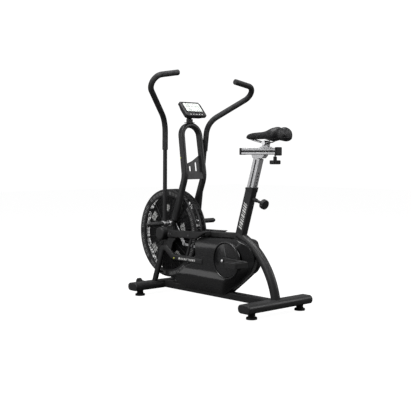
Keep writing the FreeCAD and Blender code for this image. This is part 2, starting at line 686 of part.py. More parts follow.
def guard_half():
    """The left half of the fan guard: a slotted side and a half-width rim."""
    x = GUARD_HALF - GUARD_SHEET
    centre = V(x, FAN_Y, FAN_Z)
    rim = Part.Wire(Part.makeCircle(FAN_RADIUS, centre, X_AXIS))
    holes = [Part.Wire(Part.makeCircle(GUARD_RADII[0] - 4, centre, X_AXIS))]
    for inner, outer in zip(GUARD_RADII, GUARD_RADII[1:]):
        for bar in range(GUARD_BARS):
            start = 2 * pi * bar / GUARD_BARS
            end = start + 2 * pi / GUARD_BARS
            spare = 1.6 / inner
            holes.append(ring_slot(inner + 1.5, outer - 1.5, start + spare, end - spare, x))
    face = Part.Face([rim] + holes)
    face.validate()
    side = face.extrude(V(GUARD_SHEET, 0, 0))
    drum = ring_x(FAN_Y, FAN_Z, FAN_RADIUS, FAN_RADIUS - 4, GAP / 2, x)
    windows = []
    for bar in range(24):
        window = box((9, 35), (FAN_Y + FAN_RADIUS - 10, FAN_Y + FAN_RADIUS + 5),
                     (FAN_Z - 24, FAN_Z + 24))
        window.rotate(V(0, FAN_Y, FAN_Z), X_AXIS, 15 * bar)
        windows.append(window)
    drum = drum.cut(Part.makeCompound(windows))
    return side.fuse(drum).removeSplitter()


def hub_cover():
    """The domed cover over the end of the fan axle."""
    start = PLATE_PLANE[1]
    cup = cyl_x(FAN_Y, FAN_Z, HUB_COVER_RADIUS, start, HUB_COVER_OUT)
    cup = cup.makeFillet(9.0, edges_where(cup, lambda e: e.BoundBox.XMin > HUB_COVER_OUT - 0.1))
    return cup.cut(cyl_x(FAN_Y, FAN_Z, HUB_COVER_RADIUS - 3, start, HUB_COVER_OUT - 10))


def sprocket(y, z, tip, teeth, x0, x1, bore):
    """A toothed disc across X."""
    points = []
    for tooth in range(teeth):
        for share, radius in ((0.0, tip - 4), (0.3, tip - 4), (0.42, tip), (0.58, tip), (0.7, tip - 4)):
            if share == 0.0:
                continue
            angle = 2 * pi * (tooth + share) / teeth
            points.append((y + radius * cos(angle), z + radius * sin(angle)))
    return plate_x(points, x0, x1).cut(cyl_x(y, z, bore, x0, x1))


def fan_wheel():
    """Flat radial blades on a disc."""
    disc = cyl_x(FAN_Y, FAN_Z, FAN_DISC, -1, 1).cut(cyl_x(FAN_Y, FAN_Z, 17.0, -1, 1))
    parts = []
    for blade in range(BLADES):
        vane = box((-BLADE_HALF, BLADE_HALF), (FAN_Y + 60, FAN_Y + BLADE_TIP), (FAN_Z - 1.5, FAN_Z + 1.5))
        taper = plate_z([(-BLADE_HALF, FAN_Y + 60), (BLADE_HALF, FAN_Y + 60),
                         (BLADE_HALF, FAN_Y + 74), (-BLADE_HALF, FAN_Y + 74)], FAN_Z - 3, FAN_Z + 3)
        vane = vane.fuse(taper.common(vane))
        vane.rotate(V(0, FAN_Y, FAN_Z), X_AXIS, 360.0 * blade / BLADES + 12)
        parts.append(vane)
    return disc.fuse(parts).removeSplitter()


def chain_band(grow, spare=0.0):
    """A solid bar round both sprockets, larger than their teeth by grow all round."""
    return tapered_bar_x((CRANK_Y, CRANK_Z), CHAINRING_R + grow, (FAN_Y, FAN_Z), FAN_SPROCKET_R + grow,
                         -CHAIN_PLANE[1] - spare, -CHAIN_PLANE[0] + spare)


def chain_loop():
    """The chain as one closed band round the two sprockets."""
    return chain_band(8.6).cut(chain_band(0.6))


def build_fan():
    half = guard_half()
    keep("guard_left", half)
    keep("guard_right", mirrored(half))
    keep("hub_covers", both_sides(hub_cover()))
    axle = cyl_x(FAN_Y, FAN_Z, 8.5, -70, 70)
    for side in (LEFT, RIGHT):
        nut = cyl_x(FAN_Y, FAN_Z, 14.0, side * PLATE_PLANE[1], side * (PLATE_PLANE[1] + 8))
        axle = axle.fuse(nut)
    keep("fan_axle", axle.removeSplitter())
    keep("fan_wheel", fan_wheel())
    hub = ring_x(FAN_Y, FAN_Z, 17.0, 8.5 + FIT, -46, 46)
    ring = sprocket(FAN_Y, FAN_Z, FAN_SPROCKET_R, FAN_TEETH, -50.5, -47.5, 8.5 + FIT)
    boss = ring_x(FAN_Y, FAN_Z, 14.0, 8.5 + FIT, -53, -46)
    keep("fan_hub", hub.fuse([ring, boss]).removeSplitter())
    keep("drive_chain", chain_loop())


# ---------------------------------------------------------------- crank and pedals
def crank_pin(side):
    """(y, z) of a link pin at rest: the pins are opposite each other on the crank."""
    high = LEVER_ANGLE + HALF_ROCK
    low = LEVER_ANGLE - HALF_ROCK
    middle = (cos(radians(high)) + cos(radians(low))) / 2
    ahead = LEVER_LENGTH * (cos(radians(LEVER_ANGLE + REST_ROCK)) - middle)
    up = (CRANK_THROW ** 2 - ahead ** 2) ** 0.5
    return CRANK_Y + side * ahead, CRANK_Z + side * up


def lever_tip(side):
    """(y, z) of a lever's lower end at rest."""
    angle = radians(LEVER_ANGLE + side * REST_ROCK)
    return PIVOT_Y + LEVER_LENGTH * cos(angle), PIVOT_Z + LEVER_LENGTH * sin(angle)


def crank_arm():
    """The left arm, which points to the rear, with the pedal's spindle."""
    start = (CRANK_Y, CRANK_Z)
    end = (CRANK_Y + CRANK_LENGTH, CRANK_Z)
    arm = tapered_bar_x(start, 19.0, end, 13.0, CRANK_ARM_IN, CRANK_ARM_OUT)
    arm = arm.cut(cyl_x(CRANK_Y, CRANK_Z, 8.0, 100, 120))
    rims = edges_where(arm, lambda e: e.BoundBox.XMin > CRANK_ARM_OUT - 0.1)
    arm = arm.makeChamfer(1.5, rims)
    spindle = cyl_x(end[0], end[1], 6.0, CRANK_ARM_OUT - 1, PEDAL_OUT - 3)
    return arm.fuse(spindle).removeSplitter()


def pedal():
    """A platform pedal: a bored body with two cross treads and a cage."""
    y = CRANK_Y + CRANK_LENGTH
    half = 45.0
    frame = box((PEDAL_IN, PEDAL_OUT), (y - half, y + half), (CRANK_Z - 14, CRANK_Z + 14))
    frame = frame.makeFillet(9.0, edges_where(frame, lambda e: e.BoundBox.ZLength > 20))
    for near, far in ((13.0, 36.0), (-36.0, -13.0)):
        window = box((PEDAL_IN + 14, PEDAL_OUT - 12), (y + near, y + far), (CRANK_Z - 20, CRANK_Z + 20))
        frame = frame.cut(window)
    bore = cyl_x(y, CRANK_Z, 6.0 + FIT, PEDAL_IN, PEDAL_OUT - 2)
    return frame.cut(bore)


def build_crank():
    axle = cyl_x(CRANK_Y, CRANK_Z, 10.0, -56, 56).fuse(cyl_x(CRANK_Y, CRANK_Z, 8.0, -121, 121))
    for side in (LEFT, RIGHT):
        bolt = cyl_x(CRANK_Y, CRANK_Z, 7.0, side * 120, side * 125)
        axle = axle.fuse(bolt)
    keep("crank_axle", axle.removeSplitter())
    left = crank_arm()
    right = left.copy()
    right.rotate(V(0, CRANK_Y, CRANK_Z), Z_AXIS, 180)
    keep("crank_arms", [left, right])
    disc = ring_x(CRANK_Y, CRANK_Z, 95.0, 8.0, 89.0, 94.0)
    disc = disc.makeFillet(1.5, edges_where(disc, lambda e: e.BoundBox.XMin > 93.9
                                            and e.BoundBox.YLength > 100))
    hub = ring_x(CRANK_Y, CRANK_Z, 18.0, 8.0, 74.0, 89.0)
    web = ring_x(CRANK_Y, CRANK_Z, 38.0, 8.0, 69.7, 74.0)
    boss = ring_x(CRANK_Y, CRANK_Z, 24.0, 8.0, 94.0, CRANK_ARM_IN)
    keep("crank_discs", both_sides(disc.fuse([hub, web, boss]).removeSplitter()))
    keep("chainring", sprocket(CRANK_Y, CRANK_Z, CHAINRING_R, CHAINRING_TEETH, -50.5, -47.5, 10.0))
    left_pedal = pedal()
    right_pedal = left_pedal.copy()
    right_pedal.rotate(V(0, CRANK_Y, CRANK_Z), Z_AXIS, 180)
    keep("pedal_left", left_pedal)
    keep("pedal_right", right_pedal)


# ---------------------------------------------------------------- handles and links
def handle_points():
    foot_point = V(ARM_FOOT_X, 0, 0)
    return [foot_point, V(*ARM_KNEE), V(*ARM_ELBOW), V(*ARM_END)]


def handle_tube():
    """The bent tube of the left handle, in the middle position, at the pivot's height 0."""
    points = handle_points()
    path = rounded_path(points, [KNEE_BEND, ELBOW_BEND])
    start = (points[1] - points[0]).normalize()
    tube = sweep(path, round_face(points[0], start, ARM_TUBE, ARM_BORE))
    web = plate_y([(116, 8), (152, 8), (144, 44), (124, 50)], -2.5, 2.5)
    web = web.cut(sweep(path, round_face(points[0], start, ARM_TUBE)))
    return tube.fuse(web.Solids).cut(cyl_x(0, 0, 18.0, 110, 160)).removeSplitter()


def handle_grip():
    """The foam sleeve from above the middle of the handle to its end, with a closed end."""
    points = handle_points()
    start = points[0] + (points[1] - points[0]) * GRIP_START
    path = rounded_path([start] + points[1:], [KNEE_BEND, ELBOW_BEND])
    direction = (points[1] - points[0]).normalize()
    foam = sweep(path, round_face(start, direction, GRIP_RADIUS, ARM_TUBE))
    last = (points[3] - points[2]).normalize()
    plug = Part.makeCylinder(GRIP_RADIUS, 7.0, points[3], last)
    plug = plug.makeFillet(5.0, [max(plug.Edges, key=lambda e: e.CenterOfMass.dot(last))])
    return foam.fuse(plug).removeSplitter()


def placed_handle(shape, side):
    """Turns a left-hand piece to its rest angle, sets it at the pivot, and mirrors it if needed."""
    piece = shape.copy()
    piece.rotate(V(0, 0, 0), X_AXIS, side * REST_ROCK)
    piece.translate(V(0, PIVOT_Y, PIVOT_Z))
    return piece if side == LEFT else mirrored(piece)


def lever():
    """The sleeve on the pivot, the hub of the handle, and the plated lever with its end bolt."""
    sleeve = cyl_x(0, 0, SLEEVE_R, LEVER_PLANE[0], 150.0)
    hub = cyl_x(0, 0, 18.0, 112.0, 153.5)
    collar = cyl_x(0, 0, 17.0, 92.0 + GAP, 97.0)
    angle = radians(LEVER_ANGLE)
    tip = (LEVER_LENGTH * cos(angle), LEVER_LENGTH * sin(angle))
    arm = tapered_bar_x((0, 0), 17.0, tip, 10.0, *LEVER_PLANE)
    pin = cyl_x(tip[0], tip[1], 5.0, LEVER_PLANE[0], 69.0)
    head = cyl_x(tip[0], tip[1], 8.0, ROD_PLANE[1] + GAP, ROD_PLANE[1] + 4.5)
    whole = sleeve.fuse([hub, collar, arm, pin, head])
    return whole.cut(cyl_x(0, 0, AXLE_R + FIT, 50, 160)).removeSplitter()


def link_rod(side):
    """The flat rod from a lever to its crank pin; the pin stops short of the crank web."""
    front = lever_tip(side)
    rear = crank_pin(side)
    rod = tapered_bar_x(front, 7.0, rear, 5.0, *ROD_PLANE)
    rod = rod.fuse([cyl_x(front[0], front[1], 11.0, *ROD_PLANE), cyl_x(rear[0], rear[1], 9.0, *ROD_PLANE)])
    rod = rod.cut(cyl_x(front[0], front[1], 5.0 + FIT, *ROD_PLANE))
    rod = rod.fuse(cyl_x(rear[0], rear[1], 5.0, ROD_PLANE[0], 69.7 - GAP)).removeSplitter()
    return rod if side == LEFT else mirrored(rod)


def build_handles():
    for side, name in ((LEFT, "left"), (RIGHT, "right")):
        keep("handle_" + name, placed_handle(handle_tube(), side))
        keep("grip_" + name, placed_handle(handle_grip(), side))
        keep("lever_" + name, placed_handle(lever(), side))
        keep("link_rod_" + name, link_rod(side))


# ---------------------------------------------------------------- seat
def seat_post():
    """The flat post with its row of height holes and the head under the rail."""
    low = POST_TOP_Z - POST_LENGTH * cos(radians(SEAT_LEAN))
    post = seat_bar(low, POST_TOP_Z, POST, POST_CORNER)
    groove = 4.0
    for side in (LEFT, RIGHT):
        start = seat_axis_point(low) + X_AXIS * (side * POST[0] / 2)
        face = oval_face(start, X_AXIS, SEAT_BACK, (groove, POST_GROOVE), 0.0)
        post = post.cut(face.extrude(SEAT_UP * (POST_LENGTH - 8)))
    for hole in range(9):
        spot = seat_axis_point(POST_TOP_Z - 76 - 18.0 * hole)
        bore = Part.makeCylinder(4.0, 22.0, spot + SEAT_BACK * (POST[1] / 2 - 20), SEAT_BACK)
        post = post.cut(bore)
    top_y = seat_axis_point(POST_TOP_Z).y
    head = plate_x([(top_y - 31, 848), (top_y + 38, 848), (top_y + 60, RAIL_Z[0]),
                    (top_y - 42, RAIL_Z[0])], -17, 17)
    head = head.makeFillet(3.0, edges_where(head, along_x))
    return post.fuse(head).removeSplitter()


def seat_rail():
    """The fixed horizontal channel, grooved along both sides and slotted along its top."""
    middle_z = (RAIL_Z[0] + RAIL_Z[1]) / 2
    bar = box((-RAIL_WIDTH / 2, RAIL_WIDTH / 2), RAIL_Y, RAIL_Z)
    bar = bar.makeFillet(4.0, edges_where(bar, lambda e: e.BoundBox.YLength > 200))
    for side in (LEFT, RIGHT):
        low, high = sorted((side * (RAIL_WIDTH / 2 - 4), side * (RAIL_WIDTH / 2 + 1)))
        bar = bar.cut(box((low, high), (RAIL_Y[0] - 1, RAIL_Y[1] + 1), (middle_z - 5, middle_z + 5)))
    bar = bar.cut(box((-5, 5), (RAIL_Y[0] + 20, RAIL_Y[1] - 10), (RAIL_Z[1] - 10, RAIL_Z[1] + 1)))
    return bar.cut(box((-13, 13), (RAIL_Y[0] - 1, RAIL_Y[1] + 1), (RAIL_Z[0] + 5, RAIL_Z[1] - 8)))


def rail_caps():
    half = RAIL_WIDTH / 2
    front = box((-half - 1, half + 1), (RAIL_Y[0] - 6, RAIL_Y[0]), (RAIL_Z[0] - 1, RAIL_Z[1] + 1))
    rear = box((-half - 4, half + 4), (RAIL_Y[1], RAIL_Y[1] + 12), (RAIL_Z[0] - 5, RAIL_Z[1] + 4))
    front = front.makeFillet(2.0, edges_where(front, lambda e: e.BoundBox.YMax < RAIL_Y[0] - 5.9))
    rear = rear.makeFillet(5.0, edges_where(rear, lambda e: e.BoundBox.YMin > RAIL_Y[1] + 11.9))
    return [front, rear]


def seat_carriage():
    """The block that slides in the rail and holds the saddle's clamp."""
    top = RAIL_Z[1]
    tongue = box((-4.4, 4.4), (CARRIAGE_Y - 22, CARRIAGE_Y + 22), (top - 9, top + 2))
    shoe = box((-12.4, 12.4), (CARRIAGE_Y - 26, CARRIAGE_Y + 26), (top - 20, top - 8.6))
    plate = box((-19, 19), (CARRIAGE_Y - 30, CARRIAGE_Y + 30), (top + 0.4, top + 6))
    neck = plate_x([(CARRIAGE_Y - 24, top + 5), (CARRIAGE_Y + 24, top + 5),
                    (CARRIAGE_Y + 14, top + 24), (CARRIAGE_Y - 14, top + 24)], -11, 11)
    whole = tongue.fuse([shoe, plate, neck])
    return whole.cut(cyl_x(CARRIAGE_Y, SADDLE_PIVOT_Z, 13.4, -12, 12)).removeSplitter()


def saddle_rails():
    """Two bent wires under the saddle and the round clamp that tilts with them."""
    parts = []
    for side in (LEFT, RIGHT):
        x = side * 17.0
        points = [V(side * 9, 352, 957), V(x, 400, 945), V(x, 450, SADDLE_PIVOT_Z + 3),
                  V(x, 505, SADDLE_PIVOT_Z + 3), V(side * 32, 560, 962)]
        path = rounded_path(points, 16.0)
        parts.append(sweep(path, round_face(points[0], (points[1] - points[0]).normalize(), RAIL_WIRE)))
    clamp = cyl_x(CARRIAGE_Y, SADDLE_PIVOT_Z, 13.0, -22, 22)
    return clamp.fuse(parts).removeSplitter()


def saddle():
    """The cushion: a narrow nose that widens to the rear, raised at the back."""
    nose, back = SADDLE_Y
    half = SADDLE_HALF
    plan_points = [V(0, nose, 0), V(17, nose + 10, 0), V(24, nose + 70, 0), V(34, nose + 120, 0),
                   V(70, nose + 185, 0), V(half, nose + 232, 0), V(78, back - 12, 0),
                   V(30, back - 1, 0), V(0, back - 8, 0)]
    left_side = Part.BSplineCurve()
    left_side.interpolate(plan_points)
    left_edge = left_side.toShape()
    right_edge = mirrored(left_edge)
    outline = Part.Wire(Part.__sortEdges__([left_edge, right_edge]))
    plan = Part.Face(outline).extrude(V(0, 0, 1200))
    side_view = plate_x([(nose - 4, 956), (nose + 4, 972), (nose + 80, 982), (nose + 175, 1010),
                         (back - 40, 1016), (back + 4, 1000), (back + 4, 962), (back - 30, 944),
                         (nose + 150, 952), (nose + 60, 957)], -half - 5, half + 5, 4.0)
    return plan.common(side_view)


def height_pin():
    """The sprung pin and its lobed pull knob, square to the seat tube."""
    spot = seat_axis_point(PIN_Z)
    inner = SEAT_TUBE[1] / 2 - 2.6
    pin = Part.makeCylinder(4.0, 74.0 - inner, spot + SEAT_BACK * inner, SEAT_BACK)
    stem = Part.makeCylinder(8.0, PIN_KNOB_OUT - 60, spot + SEAT_BACK * 61, SEAT_BACK)
    knob = Part.makeCylinder(27.5, 24.0, spot + SEAT_BACK * PIN_KNOB_OUT, SEAT_BACK)
    knob = knob.makeFillet(4.0, edges_where(knob, lambda e: e.Length > 100))
    for lobe in range(6):
        angle = radians(60 * lobe)
        away = X_AXIS * cos(angle) + SEAT_UP * sin(angle)
        start = spot + SEAT_BACK * (PIN_KNOB_OUT - 1) + away * 32
        notch = Part.makeCylinder(7.0, 26.0, start, SEAT_BACK)
        knob = knob.cut(notch)
    return pin.fuse([stem, knob]).removeSplitter()


def pin_housing():
    """The threaded barrel that holds the height pin."""
    spot = seat_axis_point(PIN_Z)
    barrel = Part.makeCylinder(11.0, 30.0, spot + SEAT_BACK * 28, SEAT_BACK)
    barrel = barrel.cut(Part.makeCylinder(4.0 + FIT, 40.0, spot + SEAT_BACK * 26, SEAT_BACK))
    return barrel


def rail_knob():
    """The screw and the lobed knob that lock the carriage."""
    y = RAIL_KNOB_Y
    screw = Part.makeCylinder(4.0, 34.0, V(0, y, 838))
    stem = Part.makeCylinder(10.0, 20.0, V(0, y, 838))
    head = Part.makeCylinder(30.0, 22.0, V(0, y, 816))
    head = head.makeFillet(5.0, edges_where(head, lambda e: e.Length > 100))
    for lobe in range(8):
        angle = radians(45 * lobe)
        notch = Part.makeCylinder(5.5, 24.0, V(33 * cos(angle), y + 33 * sin(angle), 815))
        head = head.cut(notch)
    return head.fuse([stem, screw]).removeSplitter()


def build_seat():
    keep("seat_post", seat_post())
    knob_hole = Part.makeCylinder(4.0 + FIT, 60.0, V(0, RAIL_KNOB_Y, 830))
    keep("seat_rail", seat_rail().cut(knob_hole))
    keep("rail_caps", rail_caps())
    keep("seat_carriage", seat_carriage())
    rails = saddle_rails()
    keep("saddle_rails", rails)
    inside = box((-200, 200), (0, HALF_LENGTH), (900, 1100))
    keep("saddle", saddle().cut(rails).common(inside))
    housing = pin_housing().cut(seat_bar(560, SEAT_TUBE_SPAN[1], SEAT_TUBE, SEAT_TUBE_CORNER))
    bore = Part.makeCylinder(4.0 + FIT, 60.0, seat_axis_point(PIN_Z) + SEAT_BACK * 20, SEAT_BACK)
    tube = NODES["seat_tube"].fuse(housing).cut(bore).removeSplitter()
    keep("seat_tube", tube)
    keep("height_pin", height_pin())
    keep("rail_knob", rail_knob())


# ---------------------------------------------------------------- console
def console_frame(shape):
    """Sets a piece modelled with its screen facing up, and its near edge towards +Y, in place."""
    piece = shape.copy()
    piece.rotate(V(0, 0, 0), X_AXIS, -CONSOLE_TILT)
    piece.translate(SCREEN_CENTRE)
    return piece


def console_case():
    """A shallow tapered case, recessed for the screen and bored for the buttons."""
    upper = oval_face(V(0, 10, -16), X_AXIS, Y_AXIS, CASE_SIZE, 14.0).extrude(V(0, 0, 18))
    upper = upper.makeFillet(5.0, edges_where(upper, lambda e: e.BoundBox.ZMin > 1.9))
    lower = oval_face(V(0, 12, -40), X_AXIS, Y_AXIS, (118, 76), 12.0)
    rim = oval_face(V(0, 10, -16), X_AXIS, Y_AXIS, (CASE_SIZE[0] - 4, CASE_SIZE[1] - 4), 14.0)
    belly = Part.makeLoft([lower.OuterWire, rim.OuterWire], True)
    case = upper.fuse(belly).removeSplitter()
    case = case.cut(box((-SCREEN[0] / 2, SCREEN[0] / 2), (-SCREEN[1] / 2, SCREEN[1] / 2), (-4, 5)))
    for x in BUTTON_X:
        case = case.cut(Part.makeCylinder(BUTTON_R + 0.4, 12.0, V(x, BUTTON_Y, -8)))
    return case


def build_console():
    case = console_frame(console_case())
    lug = cyl_x(CONSOLE_HINGE[0], CONSOLE_HINGE[1], 9.0, -8, 8)
    reach = plate_x([(-179, 1092), (-161, 1092), (-154, 1124), (-174, 1128)], -8, 8)
    joined = case.fuse(lug.fuse(reach)).removeSplitter()
    bore = cyl_x(CONSOLE_HINGE[0], CONSOLE_HINGE[1], 4.0 + FIT, -10, 10)
    screen_box = box((-SCREEN[0] / 2, SCREEN[0] / 2), (-SCREEN[1] / 2, SCREEN[1] / 2), (-4, 0.0))
    screen = console_frame(screen_box)
    keep("console_case", joined.cut(bore))
    keep("console_screen", screen)
    for x, name in zip(BUTTON_X, ("left", "middle", "right")):
        button = Part.makeCylinder(BUTTON_R, 8.5, V(x, BUTTON_Y, -6))
        button = button.makeFillet(1.2, edges_where(button, lambda e: e.BoundBox.ZMin > 2.4))
        keep("button_" + name, console_frame(button))
    neck = box((-13, 13), (-182, -151), (1062, 1082))
    ears = [box((9, 13), (-179, -161), (1080, 1100)), box((-13, -9), (-179, -161), (1080, 1100))]
    pin = cyl_x(CONSOLE_HINGE[0], CONSOLE_HINGE[1], 4.0, -15, 15)
    base = box((-22, 22), (-190, -144), (1059, 1063))
    neck = neck.fuse(ears + [pin, base]).removeSplitter()
    keep("console_neck", neck.cut(NODES["upright_loop"]))


# ---------------------------------------------------------------- fasteners
def build_bolts():
    """Hexagon bolts of the side frames and the shroud."""
    bolts = []
    for y, z in ((-250, 390), (-232, 390), (-70, 391), (-78, 245)):
        bolts += both_sides(hex_head(SIDE_OUT, y, z))
    keep("frame_bolts", bolts)


def hex_head(x, y, z):
    points = [(y + 6.5 * cos(radians(60 * i)), z + 6.5 * sin(radians(60 * i))) for i in range(6)]
    return plate_x(points, x, x + 4)


# ---------------------------------------------------------------- export
def main():
    build_base()
    build_side_frames()
    build_main_frame()
    build_upright()
    build_shroud()
    build_fan()
    build_crank()
    build_handles()
    build_seat()
    build_console()
    build_bolts()
    os.makedirs("parts", exist_ok=True)
    for name, shape in NODES.items():
        shape.exportStep("parts/" + name + ".step")
        solids = len(shape.Solids)
        print(f"{name:24s} solids {solids} valid {shape.isValid()} volume {shape.Volume / 1000:.1f} cm3")


main()
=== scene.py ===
"""Looks of the air bike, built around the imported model."""
import json
from math import acos, atan2, cos, exp, log, pi, radians, sin

import bmesh
import bpy
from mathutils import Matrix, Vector


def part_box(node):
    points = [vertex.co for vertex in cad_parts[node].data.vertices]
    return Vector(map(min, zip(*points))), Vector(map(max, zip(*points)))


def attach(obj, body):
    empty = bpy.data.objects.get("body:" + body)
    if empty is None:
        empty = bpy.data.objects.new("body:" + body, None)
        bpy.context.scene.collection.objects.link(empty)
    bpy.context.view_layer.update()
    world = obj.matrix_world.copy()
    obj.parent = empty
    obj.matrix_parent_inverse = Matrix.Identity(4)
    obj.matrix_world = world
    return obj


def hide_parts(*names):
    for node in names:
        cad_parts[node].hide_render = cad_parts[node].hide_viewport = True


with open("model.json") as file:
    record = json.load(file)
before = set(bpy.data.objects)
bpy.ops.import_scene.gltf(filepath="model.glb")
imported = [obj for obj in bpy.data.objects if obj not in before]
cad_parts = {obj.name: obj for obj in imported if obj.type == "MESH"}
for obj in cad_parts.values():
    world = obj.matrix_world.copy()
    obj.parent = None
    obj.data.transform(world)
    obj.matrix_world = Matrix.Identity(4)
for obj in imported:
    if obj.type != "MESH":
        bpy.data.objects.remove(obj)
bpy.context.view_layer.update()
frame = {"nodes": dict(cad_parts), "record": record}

scene = bpy.context.scene
nodes = frame["nodes"]
MM = 0.001
LEFT, RIGHT = 1, -1
SIDES = (("left", LEFT), ("right", RIGHT))
X_AXIS = Vector((1.0, 0.0, 0.0))


# ---------------------------------------------------------------- material building blocks
def new_material(name, colour, roughness=0.5, metallic=0.0, specular=0.5):
    material = bpy.data.materials.new(name)
    material.use_nodes = True
    shader = material.node_tree.nodes["Principled BSDF"]
    shader.inputs["Base Color"].default_value = (*colour, 1.0)
    shader.inputs["Roughness"].default_value = roughness
    shader.inputs["Metallic"].default_value = metallic
    shader.inputs["Specular IOR Level"].default_value = specular
    return material


def add(material, kind, **inputs):
    """A new node with its inputs set by name: a value, or another node's output."""
    node = material.node_tree.nodes.new(kind)
    for key, value in inputs.items():
        socket = node.inputs[key.replace("_", " ")]
        if isinstance(value, bpy.types.NodeSocket):
            material.node_tree.links.new(value, socket)
        else:
            socket.default_value = value
    return node


def link(material, output, name):
    shader = material.node_tree.nodes["Principled BSDF"]
    material.node_tree.links.new(output, shader.inputs[name])


def object_space(material, stretch=(1.0, 1.0, 1.0)):
    coordinates = add(material, "ShaderNodeTexCoord")
    mapping = add(material, "ShaderNodeMapping", Vector=coordinates.outputs["Object"])
    mapping.inputs["Scale"].default_value = stretch
    return mapping.outputs["Vector"]


def noise(material, scale, detail=3.0, roughness=0.5, stretch=(1.0, 1.0, 1.0)):
    node = add(material, "ShaderNodeTexNoise", Vector=object_space(material, stretch), Scale=scale,
               Detail=detail, Roughness=roughness)
    return node.outputs["Fac"]


def ramp(material, factor, low, high, out_low=0.0, out_high=1.0):
    node = add(material, "ShaderNodeMapRange", Value=factor)
    node.inputs["From Min"].default_value = low
    node.inputs["From Max"].default_value = high
    node.inputs["To Min"].default_value = out_low
    node.inputs["To Max"].default_value = out_high
    return node.outputs["Result"]


def colour_mix(material, factor, dark, light):
    node = material.node_tree.nodes.new("ShaderNodeMix")
    node.data_type = "RGBA"
    material.node_tree.links.new(factor, node.inputs["Factor"])
    for value, index in ((dark, 6), (light, 7)):
        if isinstance(value, bpy.types.NodeSocket):
            material.node_tree.links.new(value, node.inputs[index])
        else:
            node.inputs[index].default_value = (*value, 1.0)
    return node.outputs[2]


def bump(material, height, distance, strength=1.0):
    node = add(material, "ShaderNodeBump", Height=height, Strength=strength, Distance=distance)
    link(material, node.outputs["Normal"], "Normal")


# ---------------------------------------------------------------- materials
def powder_coat(name, colour, roughness=0.36):
    """Satin powder coat: fine orange peel and faint dust."""
    material = new_material(name, colour, roughness, specular=0.2)
    peel = noise(material, 900.0, 2.0)
    bump(material, peel, 0.0004, 0.35)
    dust = noise(material, 9.0, 5.0, 0.6)
    lighter = tuple(min(1.0, c * 1.3 + 0.002) for c in colour)
    link(material, colour_mix(material, ramp(material, dust, 0.35, 0.7), colour, lighter), "Base Color")
    link(material, ramp(material, dust, 0.3, 0.7, roughness - 0.05, roughness + 0.09), "Roughness")
    return material


def grained_plastic(name, colour, roughness=0.5, grain=420.0, depth=0.0005):
    """Moulded plastic with a spark-eroded grain and faint handling marks."""
    material = new_material(name, colour, roughness, specular=0.2)
    cells = add(material, "ShaderNodeTexVoronoi", Vector=object_space(material), Scale=grain)
    bump(material, cells.outputs["Distance"], depth, 0.25)
    marks = noise(material, 14.0, 6.0, 0.65)
    lighter = tuple(min(1.0, c * 1.3 + 0.003) for c in colour)
    link(material, colour_mix(material, ramp(material, marks, 0.4, 0.72), colour, lighter), "Base Color")
    link(material, ramp(material, marks, 0.3, 0.7, roughness - 0.06, roughness + 0.1), "Roughness")
    return material


def smooth_plastic(name, colour, roughness=0.24):
    """Smooth injection-moulded plastic with slight flow ripple and fine scratches."""
    material = new_material(name, colour, roughness, specular=0.4)
    flow = noise(material, 5.0, 3.0)
    fine = noise(material, 320.0, 2.0, 0.5, (1.0, 0.12, 1.0))
    bump(material, flow, 0.002, 0.06)
    lighter = tuple(min(1.0, c * 1.3 + 0.002) for c in colour)
    link(material, colour_mix(material, ramp(material, flow, 0.35, 0.7), colour, lighter), "Base Color")
    link(material, ramp(material, fine, 0.35, 0.75, roughness - 0.02, roughness + 0.05), "Roughness")
    return material


def metal(name, colour, roughness, stretch, scale=260.0, depth=0.0002):
    """Bare or plated metal with grain along its length."""
    material = new_material(name, colour, roughness, metallic=1.0)
    grain = noise(material, scale, 4.0, 0.6, stretch)
    cloud = noise(material, 16.0, 4.0, 0.6)
    bump(material, grain, depth, 0.25)
    darker = tuple(c * 0.82 for c in colour)
    link(material, colour_mix(material, ramp(material, cloud, 0.3, 0.75), darker, colour), "Base Color")
    link(material, ramp(material, grain, 0.3, 0.75, roughness - 0.04, roughness + 0.1), "Roughness")
    return material


def foam(name, colour):
    """Closed-cell foam: fine pores over soft lumps."""
    material = new_material(name, colour, 0.9, specular=0.08)
    pores = add(material, "ShaderNodeTexVoronoi", Vector=object_space(material), Scale=520.0)
    lumps = noise(material, 60.0, 3.0)
    height = add(material, "ShaderNodeMath")
    height.operation = "ADD"
    material.node_tree.links.new(pores.outputs["Distance"], height.inputs[0])
    material.node_tree.links.new(lumps, height.inputs[1])
    bump(material, height.outputs[0], 0.0008, 0.6)
    lighter = tuple(c * 1.5 + 0.004 for c in colour)
    link(material, colour_mix(material, ramp(material, lumps, 0.35, 0.7), colour, lighter), "Base Color")
    return material


def vinyl(name, colour):
    """Grained upholstery vinyl: pebbled cells, fine creases, a soft gloss."""
    material = new_material(name, colour, 0.46, specular=0.22)
    cells = add(material, "ShaderNodeTexVoronoi", Vector=object_space(material), Scale=300.0)
    cells.feature = "DISTANCE_TO_EDGE"
    creases = noise(material, 40.0, 5.0, 0.6)
    height = add(material, "ShaderNodeMath")
    height.operation = "MULTIPLY_ADD"
    material.node_tree.links.new(ramp(material, cells.outputs["Distance"], 0.0, 0.12), height.inputs[0])
    height.inputs[1].default_value = 0.6
    material.node_tree.links.new(creases, height.inputs[2])
    bump(material, height.outputs[0], 0.0006, 0.5)
    lighter = tuple(c * 1.5 + 0.003 for c in colour)
    link(material, colour_mix(material, ramp(material, creases, 0.35, 0.7), colour, lighter), "Base Color")
    link(material, ramp(material, creases, 0.3, 0.7, 0.36, 0.52), "Roughness")
    return material


